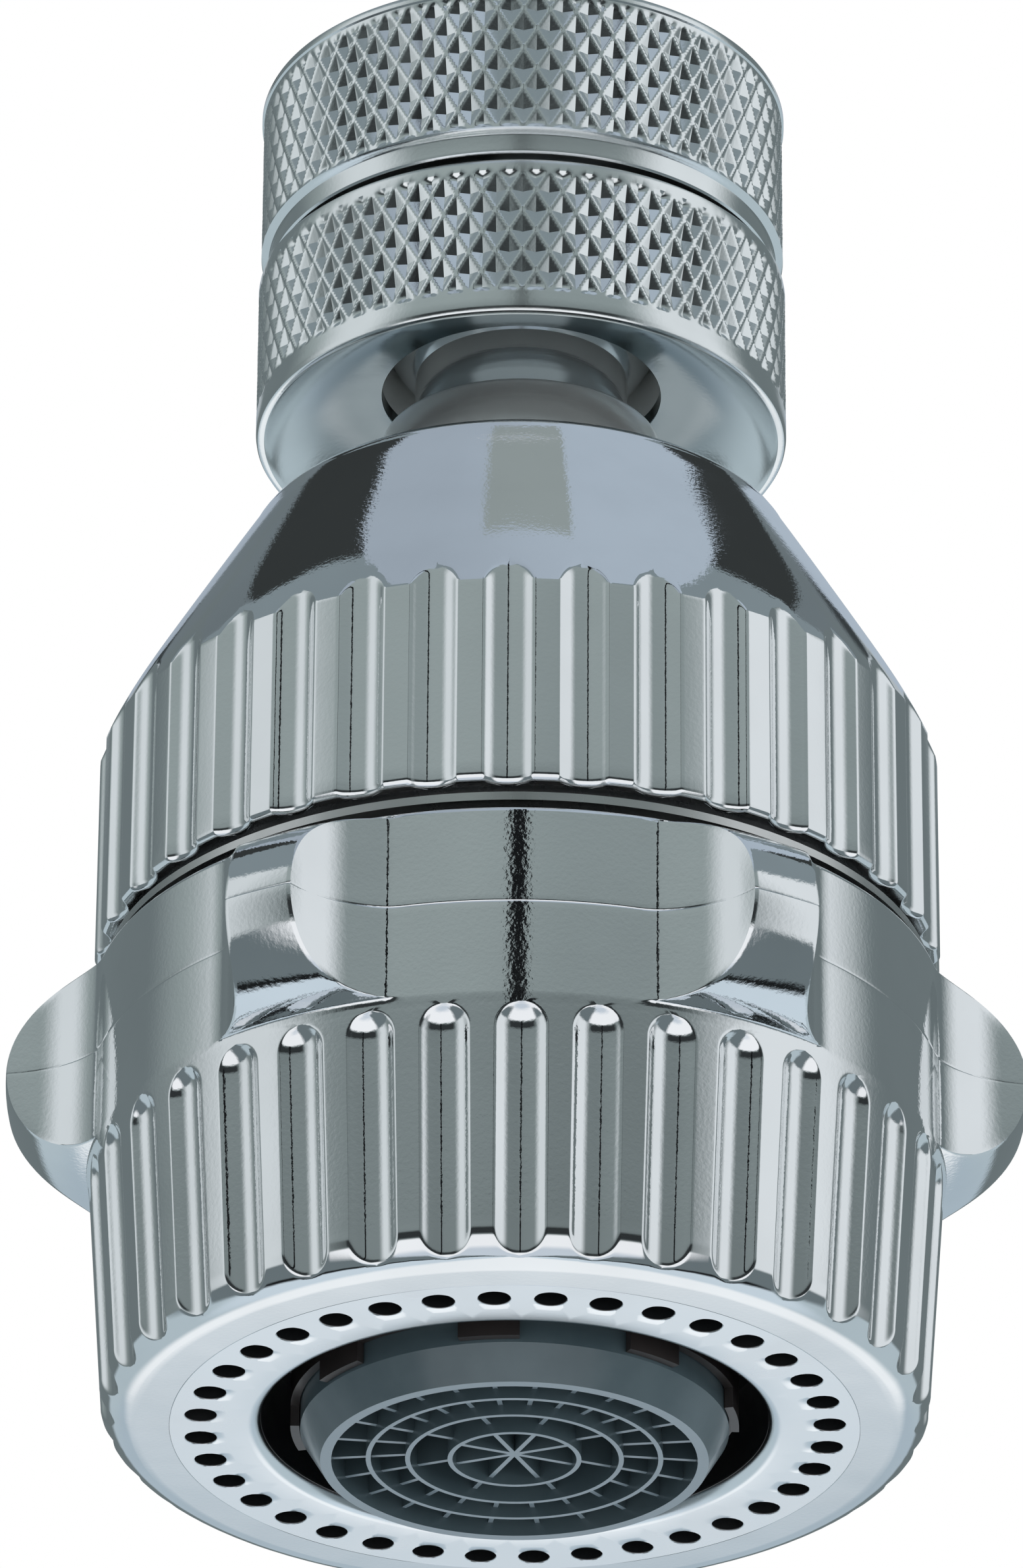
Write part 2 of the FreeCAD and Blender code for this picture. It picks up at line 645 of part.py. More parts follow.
def scallop(angle):
    """Upright cutter between two lobes: a flat floor between two hollow flanks."""
    bottom = LOBE_HEIGHT - LOBE_ROUND
    floor = SLEEVE_R - SCALLOP_SINK
    side = SCALLOP_HALF_WIDTH + SCALLOP_R
    far = LOBE_R + SCALLOP_R

    def point(along, across):
        return Vector(along, across, level(bottom))

    bow = SCALLOP_R * math.sin(math.radians(45))
    deep = floor + SCALLOP_R - bow
    corner = SCALLOP_HALF_WIDTH + bow
    outline = [
        Part.LineSegment(point(far, -side), point(floor + SCALLOP_R, -side)),
        Part.Arc(point(floor + SCALLOP_R, -side), point(deep, -corner), point(floor, -SCALLOP_HALF_WIDTH)),
        Part.LineSegment(point(floor, -SCALLOP_HALF_WIDTH), point(floor, SCALLOP_HALF_WIDTH)),
        Part.Arc(point(floor, SCALLOP_HALF_WIDTH), point(deep, corner), point(floor + SCALLOP_R, side)),
        Part.LineSegment(point(floor + SCALLOP_R, side), point(far, side)),
        Part.LineSegment(point(far, side), point(far, -side)),
    ]
    wire = Part.Wire([edge.toShape() for edge in outline])
    cutter = Part.Face(wire).extrude(Vector(0, 0, 2 * LOBE_ROUND))
    cutter.rotate(Vector(), AXIS, angle)
    return cutter


def grip_sleeve():
    """Chromed sleeve that the hand twists: six lobes over a fluted skirt with a rounded foot."""
    foot_centre_r = SLEEVE_FOOT_R - SLEEVE_FOOT_ROUND
    bow = SLEEVE_FOOT_ROUND * math.sin(math.radians(45))
    body = turned(
        (SLEEVE_LIP_BORE_R, 0),
        (foot_centre_r, 0),
        (foot_centre_r + bow, SLEEVE_FOOT_ROUND - bow, SLEEVE_FOOT_R, SLEEVE_FOOT_ROUND),
        (SLEEVE_R, LOBE_HEIGHT),
        (SLEEVE_R, SLEEVE_TOP - SLEEVE_TOP_ROUND),
        (SLEEVE_R - SLEEVE_TOP_ROUND, SLEEVE_TOP),
        (SLEEVE_BORE_R, SLEEVE_TOP),
        (SLEEVE_BORE_R, SLEEVE_LIP_THICK),
        (SLEEVE_LIP_BORE_R, SLEEVE_LIP_THICK),
    )
    lobes = lobe_ring().cut([scallop(angle) for angle in spread(LOBE_COUNT, FRONT + SLEEVE_TURN)])
    lean = SLEEVE_TAPER / (LOBE_HEIGHT - SLEEVE_FOOT_ROUND)
    sunk = SLEEVE_FLUTE_R - SLEEVE_FLUTE_DEPTH
    top = SLEEVE_FLUTE_TOP - math.sqrt(SLEEVE_FLUTE_R ** 2 - sunk ** 2)
    bottom = -CUT_PAST
    centre_r = SLEEVE_FOOT_R + lean * (top - SLEEVE_FOOT_ROUND) + sunk
    foot_r = centre_r - lean * (top - bottom)
    angles = spread(FLUTE_COUNT, FRONT + SLEEVE_TURN)
    return body.cut(flute_cutters(SLEEVE_FLUTE_R, centre_r, foot_r, bottom, top, True, angles)).fuse(lobes)


def duct(angle):
    """Spray water's way through the sleeve core: in from the valve disc, outwards, and down."""
    roof = VALVE_DISC_BOTTOM - SPRAY_DUCT_ROOF
    floor = PLATE_BOTTOM + SPRAY_DUCT_FLOOR
    way_in = peg(PORT_R, floor, VALVE_DISC_BOTTOM, PORT_CIRCLE_R, angle)
    way_out = peg(SPRAY_DUCT_WIDTH / 2, PLATE_BOTTOM, roof, SPRAY_DUCT_R, angle)
    channel = Part.makeBox(SPRAY_DUCT_R - PORT_CIRCLE_R, SPRAY_DUCT_WIDTH, roof - floor,
                           Vector(PORT_CIRCLE_R, -SPRAY_DUCT_WIDTH / 2, level(floor)))
    channel.rotate(Vector(), AXIS, angle)
    return [way_in, way_out, channel]


def stop_slot(angle):
    """Curved slot that a stop pin runs in while the sleeve twists."""
    half = STOP_PIN_R + RUNNING_GAP
    top = SLEEVE_TOP + DRUM_RISE
    bottom = top - SLOT_DEPTH
    track = ring(STOP_PIN_CIRCLE_R - half, STOP_PIN_CIRCLE_R + half, bottom, top)
    wedge = Part.makeCylinder(2 * DRUM_R, SLOT_DEPTH, Vector(0, 0, level(bottom)), AXIS, TWIST)
    wedge.rotate(Vector(), AXIS, angle - TWIST)
    ends = pegs(half, bottom, top, STOP_PIN_CIRCLE_R, (angle, angle - TWIST))
    return [track.common(wedge)] + ends


def sleeve_core():
    """Moulding inside the sleeve: plate with the ports, jet tube, outer skirt and hub."""
    skirt_r = SLEEVE_BORE_R - SEAT_GAP
    drum_top = SLEEVE_TOP + DRUM_RISE
    ledge = AERATOR_SEAL_TOP
    body = turned(
        (SCREW_R + RUNNING_GAP, HUB_BOTTOM),
        (HUB_R, HUB_BOTTOM),
        (HUB_R, PLATE_BOTTOM),
        (JET_TUBE_BORE_R, PLATE_BOTTOM),
        (JET_TUBE_BORE_R, ledge + JET_LEDGE_THICK),
        (JET_LEDGE_BORE_R, ledge + JET_LEDGE_THICK),
        (JET_LEDGE_BORE_R, ledge),
        (JET_TUBE_BORE_R, ledge),
        (JET_TUBE_BORE_R, JET_TUBE_FOOT),
        (JET_TUBE_R, JET_TUBE_FOOT),
        (JET_TUBE_R, PLATE_BOTTOM),
        (skirt_r - SKIRT_THICK, PLATE_BOTTOM),
        (skirt_r - SKIRT_THICK, SKIRT_FOOT),
        (skirt_r, SKIRT_FOOT),
        (skirt_r, SLEEVE_TOP),
        (DRUM_R, SLEEVE_TOP),
        (DRUM_R, drum_top),
        (DISC_R, drum_top),
        (DISC_R, VALVE_DISC_BOTTOM),
        (SCREW_R + RUNNING_GAP, VALVE_DISC_BOTTOM),
    )
    cuts = pegs(PORT_R, PLATE_BOTTOM, VALVE_DISC_BOTTOM, PORT_CIRCLE_R, port_angles())
    for angle in port_angles():
        cuts += duct(angle - TWIST)
    for angle in stop_pin_angles():
        cuts += stop_slot(angle)
    return body.cut(cuts)


def valve_disc():
    """Ceramic disc that turns with the sleeve: jet ports open at rest, spray ports after the twist."""
    disc = ring(SCREW_R + RUNNING_GAP, DISC_R - SEAT_GAP, VALVE_DISC_BOTTOM, VALVE_DISC_TOP)
    angles = port_angles() + [angle - TWIST for angle in port_angles()]
    return disc.cut(pegs(PORT_R, VALVE_DISC_BOTTOM, VALVE_DISC_TOP, PORT_CIRCLE_R, angles))


def spray_plate():
    """Face plate with a ring of spray holes and a rolled lip round the jet's opening."""
    roll_r = OPENING_R + OPENING_ROUND
    bow = OPENING_ROUND * math.sin(math.radians(45))
    plate = turned(
        (PLATE_R, 0),
        (PLATE_R, SLEEVE_LIP_THICK),
        (SLEEVE_BORE_R - SEAT_GAP, SLEEVE_LIP_THICK),
        (SLEEVE_BORE_R - SEAT_GAP, PLATE_FLANGE_TOP),
        (OPENING_R + OPENING_WALL, PLATE_FLANGE_TOP),
        (OPENING_R + OPENING_WALL, OPENING_RISE),
        (OPENING_R, OPENING_RISE),
        (OPENING_R, OPENING_ROUND),
        (roll_r - bow, OPENING_ROUND - bow, roll_r, 0),
    )
    angles = spread(SPRAY_HOLE_COUNT, FRONT + PLATE_TURN)
    return plate.cut(pegs(SPRAY_HOLE_R, 0, PLATE_FLANGE_TOP, SPRAY_CIRCLE_R, angles))


def spray_gasket():
    """Outer gasket between the plate's flange and the sleeve core's skirt."""
    outer_r = SLEEVE_BORE_R - SEAT_GAP
    return ring(outer_r - SKIRT_THICK, outer_r, PLATE_FLANGE_TOP, SKIRT_FOOT)


def jet_gasket():
    """Inner gasket between the plate's opening and the jet tube."""
    return ring(OPENING_R, OPENING_R + OPENING_WALL, OPENING_RISE, JET_TUBE_FOOT)


def aerator_collar():
    """Castellated collar that is screwed into the jet tube and holds the aerator."""
    thread_bottom = AERATOR_TOP - COLLAR_THREAD_LENGTH
    bore_r = AERATOR_R + SEAT_GAP
    collar = turned(
        (bore_r, COLLAR_FOOT),
        (COLLAR_TUBE_R, COLLAR_FOOT),
        (COLLAR_TUBE_R, thread_bottom),
        (JET_TUBE_BORE_R - SEAT_GAP, thread_bottom),
        (JET_TUBE_BORE_R - SEAT_GAP, AERATOR_TOP),
        (bore_r, AERATOR_TOP),
    )
    notches = []
    tab_angle = 360.0 / CASTELLATION_COUNT - NOTCH_ANGLE
    foot = Vector(0, 0, level(COLLAR_FOOT))
    for angle in spread(CASTELLATION_COUNT, FRONT + COLLAR_TURN + tab_angle / 2):
        notch = Part.makeCylinder(2 * AERATOR_R, NOTCH_DEPTH, foot, AXIS, NOTCH_ANGLE)
        notch.rotate(Vector(), AXIS, angle)
        notches.append(notch)
    return collar.cut(notches)


def fins(count, inner_r, outer_r, bottom):
    """Thin upright plates between two radii of the grille."""
    plates = []
    for angle in spread(count, FRONT + 180.0 / count):
        plate = Part.makeBox(outer_r - inner_r, GRILLE_WALL, GRILLE_TOP - bottom,
                             Vector(inner_r, -GRILLE_WALL / 2, level(bottom)))
        plate.rotate(Vector(), AXIS, angle)
        plates.append(plate)
    return plates


def aerator_housing():
    """Slate plastic aerator body with its jet straightener: three rings joined by thin fins."""
    rim_bore_r = AERATOR_RIM_R - AERATOR_RIM
    shell = turned(
        (rim_bore_r, -JET_DROP),
        (AERATOR_RIM_R, -JET_DROP),
        (AERATOR_R, 0),
        (AERATOR_R, AERATOR_TOP),
        (AERATOR_BORE_R, AERATOR_TOP),
        (AERATOR_BORE_R, GRILLE_TOP),
        (rim_bore_r, GRILLE_TOP),
    )
    ring_bottom = RING_RECESS - JET_DROP
    rings = [ring(radius - GRILLE_WALL, radius, ring_bottom, GRILLE_TOP) for radius in GRILLE_RING_R]
    edges = (0,) + GRILLE_RING_R + (rim_bore_r,)
    plates = []
    for cell, count in enumerate(GRILLE_FINS):
        recess = STAR_RECESS if cell == 0 else FIN_RECESS
        inner_r = max(edges[cell] - GRILLE_WALL / 2, 0)
        outer_r = edges[cell + 1] + (-GRILLE_WALL / 2 if cell < 3 else GRILLE_WALL / 2)
        plates += fins(count, inner_r, outer_r, recess - JET_DROP)
    return shell.fuse(rings + plates)


def mesh_screens():
    """Two fine screens that lie on the straightener."""
    discs = []
    for step in range(MESH_COUNT):
        bottom = GRILLE_TOP + step * MESH_THICK
        discs.append(ring(0, INSERT_R, bottom, bottom + MESH_THICK))
    return Part.makeCompound(discs)


def diffuser_disc():
    """Cup that breaks the water into fine streams above the screens."""
    cup = turned(
        (0, DIFFUSER_BOTTOM),
        (INSERT_R - DIFFUSER_WALL, DIFFUSER_BOTTOM),
        (INSERT_R - DIFFUSER_WALL, MESH_TOP),
        (INSERT_R, MESH_TOP),
        (INSERT_R, REGULATOR_BOTTOM),
        (0, REGULATOR_BOTTOM),
    )
    angles = spread(DIFFUSER_HOLES)
    return cup.cut(pegs(DIFFUSER_HOLE_R, DIFFUSER_BOTTOM, REGULATOR_BOTTOM, DIFFUSER_CIRCLE_R, angles))


def flow_regulator():
    """Flow regulator body with an open groove for its rubber ring."""
    groove_in = REGULATOR_CIRCLE_R - REGULATOR_RING_R - SEAT_GAP
    groove_out = REGULATOR_CIRCLE_R + REGULATOR_RING_R + SEAT_GAP
    body = ring(0, INSERT_R, REGULATOR_BOTTOM, REGULATOR_TOP)
    groove = ring(groove_in, groove_out, REGULATOR_TOP - 2 * REGULATOR_RING_R, REGULATOR_TOP)
    angles = spread(REGULATOR_HOLES)
    holes = pegs(REGULATOR_HOLE_R, REGULATOR_BOTTOM, REGULATOR_TOP, REGULATOR_CIRCLE_R, angles)
    return body.cut([groove] + holes)


def regulator_ring():
    """Rubber ring that closes the regulator's slots as pressure rises."""
    return o_ring(REGULATOR_CIRCLE_R, REGULATOR_RING_R, REGULATOR_TOP - REGULATOR_RING_R)


def dome_filter():
    """Domed filter on top of the cartridge: a cap of a hollow sphere with a flat rim."""
    rim_top = REGULATOR_TOP + DOME_RIM
    top = rim_top + DOME_HEIGHT
    sphere_r = (DOME_R ** 2 + DOME_HEIGHT ** 2) / (2 * DOME_HEIGHT)
    centre = top - sphere_r
    inner_sphere_r = sphere_r - DOME_WALL
    inner_r = math.sqrt(inner_sphere_r ** 2 - (rim_top - centre) ** 2)
    turn = math.asin(DOME_R / sphere_r) / 2
    inner_turn = math.asin(inner_r / inner_sphere_r) / 2
    outside = (sphere_r * math.sin(turn), centre + sphere_r * math.cos(turn))
    inside = (inner_sphere_r * math.sin(inner_turn), centre + inner_sphere_r * math.cos(inner_turn))
    return turned(
        (inner_r, REGULATOR_TOP),
        (INSERT_R, REGULATOR_TOP),
        (INSERT_R, rim_top),
        (DOME_R, rim_top),
        outside + (0, top),
        (0, top - DOME_WALL),
        inside + (inner_r, rim_top),
    )


def aerator_seal():
    """Flat seal between the aerator and the ledge in the jet tube."""
    return ring(AERATOR_BORE_R, JET_TUBE_BORE_R - SEAT_GAP, AERATOR_TOP, AERATOR_SEAL_TOP)


PIECES = {
    "inlet_adapter": inlet_adapter,
    "inlet_washer": inlet_washer,
    "inlet_screen": inlet_screen,
    "ball_seat": ball_seat,
    "ball_seal": ball_seal,
    "clamp_ring": clamp_ring,
    "slip_ring": slip_ring,
    "ball_stem": ball_stem,
    "stem_gasket": stem_gasket,
    "upper_housing": upper_housing,
    "housing_core": housing_core,
    "core_seal": core_seal,
    "port_disc": port_disc,
    "port_seals": port_seals,
    "centre_screw": centre_screw,
    "thrust_washer": thrust_washer,
    "stop_pins": stop_pins,
    "seam_ring": seam_ring,
    "slide_ring": slide_ring,
    "grip_sleeve": grip_sleeve,
    "sleeve_core": sleeve_core,
    "valve_disc": valve_disc,
    "spray_plate": spray_plate,
    "spray_gasket": spray_gasket,
    "jet_gasket": jet_gasket,
    "aerator_collar": aerator_collar,
    "aerator_housing": aerator_housing,
    "mesh_screens": mesh_screens,
    "diffuser_disc": diffuser_disc,
    "flow_regulator": flow_regulator,
    "regulator_ring": regulator_ring,
    "dome_filter": dome_filter,
    "aerator_seal": aerator_seal,
}

os.makedirs("parts", exist_ok=True)
for node, make in PIECES.items():
    make().exportStep("parts/" + node + ".step")
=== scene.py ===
"""Looks of the tap aerator: a chromed swivel head that hangs from a spout, seen from below.

Heights in this script are in millimetres above the flat spray face, and the frame's origin is the middle
of the inlet's mouth. Angles are in degrees round the axis from the front, -Y, towards +X.
"""
import json
import math

import bmesh
import bpy
import numpy as np
from mathutils import Matrix, Vector


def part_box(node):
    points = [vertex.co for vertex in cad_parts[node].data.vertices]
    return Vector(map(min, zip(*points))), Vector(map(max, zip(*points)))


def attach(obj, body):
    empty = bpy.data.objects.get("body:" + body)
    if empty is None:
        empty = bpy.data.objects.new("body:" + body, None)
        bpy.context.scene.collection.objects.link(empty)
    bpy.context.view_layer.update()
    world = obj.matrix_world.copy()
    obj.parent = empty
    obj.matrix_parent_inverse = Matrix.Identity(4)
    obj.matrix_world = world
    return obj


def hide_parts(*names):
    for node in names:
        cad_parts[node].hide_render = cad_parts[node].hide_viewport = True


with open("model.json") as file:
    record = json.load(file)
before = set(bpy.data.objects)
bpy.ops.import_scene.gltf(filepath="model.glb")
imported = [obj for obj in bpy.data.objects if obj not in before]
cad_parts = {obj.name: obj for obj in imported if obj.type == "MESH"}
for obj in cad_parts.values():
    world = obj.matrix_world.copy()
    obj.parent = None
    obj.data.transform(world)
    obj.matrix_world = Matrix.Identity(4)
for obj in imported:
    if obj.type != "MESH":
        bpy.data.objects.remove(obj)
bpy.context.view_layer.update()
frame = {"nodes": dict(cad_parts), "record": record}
nodes = frame["nodes"]

MM = 0.001
INLET_HEIGHT = -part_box("grip_sleeve")[0].z / MM

# The grip sleeve.
FLUTES = 36
SLEEVE_TURN = 0.5
SLEEVE_CUTTER_R = 1.6
SLEEVE_CUTTER_OUT = 1.0
SCOOP_HEIGHT = 12.05
FLUTES_END = 13.35
LOBES_START = 13.95
LAND_R = 22.05
FOOT_R = 21.15
FOOT_ROUND = 1.7
TAPER_TOP = 13.9
SLEEVE_TOP = 24.4
TOP_ROUND = 0.4
SLEEVE_BORE_R = 19.4
LIP_BORE_R = 17.55
LIP_THICK = 1.4
LOBES = 6
LOBE_HEIGHT = 19.0
LOBE_R = 26.4
LOBE_ROUND = 5.1
SCALLOP_R = 6.7
SCALLOP_ACROSS = 6.2
SCALLOP_OUT = 27.8
CREASE_ANGLE = 17.8
PARTING = 0.03
FLUTE_BLEND = 0.16

# The upper housing.
HOUSING_TURN = -1.5
HOUSING_CUTTER_R = 1.68
HOUSING_CUTTER_OUT = 1.15
HOUSING_BOTTOM = 25.9
HOUSING_TOP = 51.3
HOUSING_R = 22.0
DRUM_TOP = 37.4
CONE_TOP_R = 14.5
CONE_EDGE = 0.6
CONE_BOW = 0.15
CONE_SPRING = 1.6
DRUM_EDGE = 0.42

# The knurled rings.
KNURL_COUNT = 63
KNURL_LEAD = 2.46
KNURL_ROWS = 3
KNURL_DEPTH = 0.28
KNURL_RIDGE = 0.05
KNURL_STEPS = 12
RING_R = 14.2

# The ball and its stem.
BALL_HEIGHT = 67.4
BALL_R = 8.1
NECK_R = 5.7
STEM_BORE_R = 3.2

# The spray plate.
HOLES = 36
HOLE_R = 0.82
HOLE_CIRCLE_R = 16.0
HOLE_STEPS = 8
PLATE_TURN = -3.8
PLATE_R = 17.54
PLATE_BACK = 2.6
OPENING_R = 12.9
OPENING_ROUND = 0.7

# The camera, solved from the circular edges in the photograph.
CAMERA_LENS = 224.8
CAMERA_ELEVATION = -27.95
CAMERA_ROLL = 0.39
CAMERA_DISTANCE = 514.7
CAMERA_TARGET = (-0.384, 0.0, 37.23)


def lift(height):
    """The frame's z in mm of a height above the spray face."""
    return height - INLET_HEIGHT


def around(radius, angle, height):
    """Points (rows, columns, 3) in mm: radius r at angle a from the front gives x = r sin a, y = -r cos a."""
    radius, angle, height = np.broadcast_arrays(radius, np.radians(angle), height)
    return np.stack([radius * np.sin(angle), -radius * np.cos(angle), lift(height)], axis=-1)


def finish_mesh(name, points, faces, crease, weld=False):
    """An object from points in mm and faces, smooth but for edges sharper than the crease angle. Patches
    that only share their border points are welded, and their faces turned outwards."""
    mesh = bpy.data.meshes.new(name)
    mesh.from_pydata(points.reshape(-1, 3) * MM, [], faces)
    if weld:
        joined = bmesh.new()
        joined.from_mesh(mesh)
        bmesh.ops.remove_doubles(joined, verts=joined.verts, dist=0.001 * MM)
        bmesh.ops.recalc_face_normals(joined, faces=joined.faces)
        joined.to_mesh(mesh)
        joined.free()
    mesh.polygons.foreach_set("use_smooth", np.ones(len(mesh.polygons), dtype=bool))
    mesh.set_sharp_from_angle(angle=math.radians(crease))
    mesh.update()
    piece = bpy.data.objects.new(name, mesh)
    bpy.context.scene.collection.objects.link(piece)
    return piece


def grid_faces(rows, columns, wrap_rows):
    """Quads of a grid of points, whose columns always close round the axis."""
    row = np.arange(rows if wrap_rows else rows - 1)[:, None]
    column = np.arange(columns)[None, :]
    up, across = (row + 1) % rows, (column + 1) % columns
    corners = [row * columns + column, row * columns + across, up * columns + across, up * columns + column]
    return np.stack(np.broadcast_arrays(*corners), axis=-1).reshape(-1, 4)


def shell(name, points, crease=32):
    """A closed shell from a grid of points: columns go round the axis, rows go round the section."""
    return finish_mesh(name, points, grid_faces(points.shape[0], points.shape[1], True), crease)


def fillet(before, corner, after, radius, steps=6):
    """Points on the arc of a radius that rounds a corner, tangent to both sides."""
    inward, outward = before - corner, after - corner
    inward, outward = inward / np.linalg.norm(inward), outward / np.linalg.norm(outward)
    half = math.acos(np.clip(inward @ outward, -1, 1)) / 2
    bisector = (inward + outward) / np.linalg.norm(inward + outward)
    centre = corner + bisector * radius / math.sin(half)
    start = corner + inward * radius / math.tan(half) - centre
    end = corner + outward * radius / math.tan(half) - centre
    turn = math.pi - 2 * half
    share = np.linspace(0, 1, steps)[:, None]
    return centre + (np.sin((1 - share) * turn) * start + np.sin(share * turn) * end) / math.sin(turn)


def arc_through(start, middle, end, steps):
    """Points on the circle through three points. Its centre c solves (q - p) . c = (q - p) . (q + p) / 2
    for both chords."""
    knots = np.array([start, middle, end], dtype=float)
    chords = knots[1:] - knots[:-1]
    halfway = (knots[1:] + knots[:-1]) / 2
    centre = np.linalg.solve(chords, (chords * halfway).sum(axis=1))
    spokes = knots - centre
    turns = np.unwrap(np.arctan2(spokes[:, 1], spokes[:, 0]))
    turn = np.linspace(turns[0], turns[2], steps)
    return centre + np.linalg.norm(spokes[0]) * np.stack([np.cos(turn), np.sin(turn)], axis=1)


def outline(*parts, hold=0.05):
    """A closed section. A part is a corner (radius, height, rounding) or an array of points on a curve.
    Long straight stretches get a point near each end, which keeps their shading flat."""
    ends = [(part[0], part[-1]) if isinstance(part, np.ndarray) else (np.array(part[:2], float),) * 2
            for part in parts]
    pieces = []
    for index, part in enumerate(parts):
        if isinstance(part, np.ndarray):
            pieces.append(part)
        elif part[2] > 0:
            before, after = ends[index - 1][1], ends[(index + 1) % len(parts)][0]
            pieces.append(fillet(before, ends[index][0], after, part[2]))
        else:
            pieces.append(ends[index][0][None, :])
    points = []
    for index, piece in enumerate(pieces):
        following = pieces[(index + 1) % len(pieces)]
        span = following[0] - piece[-1]
        length = np.linalg.norm(span)
        points.append(piece)
        if length > 4 * hold:
            points.append(np.stack([piece[-1] + span * hold / length, following[0] - span * hold / length]))
    return np.concatenate(points)


def soft_min(first, second, width):
    """The lower of two surfaces. Where they are less than the width w apart, a curve rounds the edge:
    min(a, b) - w / 4 * (1 - |a - b| / w) ^ 2."""
    near = np.clip(1 - np.abs(second - first) / width, 0, 1)
    return np.minimum(first, second) - near ** 2 * width / 4


def cutter_edge(land, centre, cutter):
    """Half angle in degrees at which a round cutter meets the land: the law of cosines, 0 past its reach."""
    cosine = (land ** 2 + centre ** 2 - cutter ** 2) / (2 * land * centre)
    return np.degrees(np.arccos(np.clip(cosine, -1, 1)))


def cutter_floor(angle, centre, cutter):
    """Radius of a round cutter's near side along a ray: c cos a - sqrt(R^2 - c^2 sin^2 a), or past its
    reach so far out that it cuts nothing."""
    reach = cutter ** 2 - (centre * np.sin(np.radians(angle))) ** 2
    return np.where(reach > 0, centre * np.cos(np.radians(angle)) - np.sqrt(np.maximum(reach, 0)), 2 * LOBE_R)


# Shares of a flute's half width, and of the way from its edge to the middle of the land beside it.
FLUTE_SHARES = np.array([0.0, 0.22, 0.42, 0.6, 0.74, 0.84, 0.9, 0.95, 1.0])
LAND_SHARES = np.array([0.06, 0.13, 0.22, 0.36, 1.0])
LEAST_EDGE = 0.06


def flute_angles(edge):
    """Angles round the axis of each row's columns, and their offsets from the nearest flute. The columns
    follow the flutes' edges exactly."""
    edge = np.maximum(edge, LEAST_EDGE)[:, None]
    half = 180.0 / FLUTES
    right = np.concatenate([edge * FLUTE_SHARES, edge + (half - edge) * LAND_SHARES], axis=1)
    offsets = np.concatenate([-right[:, :0:-1], right[:, :-1]], axis=1)
    centres = np.arange(FLUTES) * 2 * half
    return (centres[None, :, None] + offsets[:, None, :]).reshape(len(edge), -1), np.tile(offsets, (1, FLUTES))


def sleeve_land(height):
    """Radius of the grip sleeve without flutes or lobes: a rounded foot, a taper and an upright collar."""
    foot = FOOT_R - FOOT_ROUND + np.sqrt(np.maximum(FOOT_ROUND ** 2 - (FOOT_ROUND - height) ** 2, 0))
    share = np.clip((height - FOOT_ROUND) / (TAPER_TOP - FOOT_ROUND), 0, 1)
    return np.where(height < FOOT_ROUND, foot, FOOT_R + (LAND_R - FOOT_R) * share)


def sleeve_heights():
    """Rows up the sleeve: dense in the foot, at the scoops' tips, over the lobes and at the parting line."""
    foot = FOOT_ROUND * (1 - np.cos(np.radians(np.linspace(2, 90, 20))))
    scoop_reach = math.sqrt(SLEEVE_CUTTER_R ** 2 - SLEEVE_CUTTER_OUT ** 2)
    scoop = SCOOP_HEIGHT + scoop_reach * np.sin(np.radians(np.linspace(4, 90, 16)))
    lobe = LOBE_HEIGHT - 0.988 * LOBE_ROUND * np.cos(np.radians(np.linspace(0, 180, 41)))
    line = LOBE_HEIGHT + np.array([-0.1, -0.06, -0.03, 0.03, 0.06, 0.1])
    return np.concatenate([foot, [2.2, 4.5, 7.5, 10.0, 11.4], scoop, [13.42, 13.62, 13.82], np.sort(
        np.concatenate([lobe, line]))])


def lobe_angles(crest_edge, columns):
    """Columns over a lobe and its panel: even over the panel, then up the hollow flank to the crest's edge
    and over the crest."""
    half = 180.0 / LOBES
    flank = np.linspace(0, 1, 21)
    crest = np.linspace(0, 1, 17)[1:]
    side = len(flank) + len(crest)
    edge = np.maximum(crest_edge, CREASE_ANGLE + 0.1)[:, None]
    right = np.concatenate([CREASE_ANGLE + (edge - CREASE_ANGLE) * flank, edge + (half - edge) * crest], axis=1)
    panel = CREASE_ANGLE * np.linspace(-1, 1, columns - 2 * side + 3)[1:-1]
    middle = np.repeat(panel[None, :], len(edge), axis=0)
    return np.concatenate([-right[:, -2::-1], middle, right], axis=1)


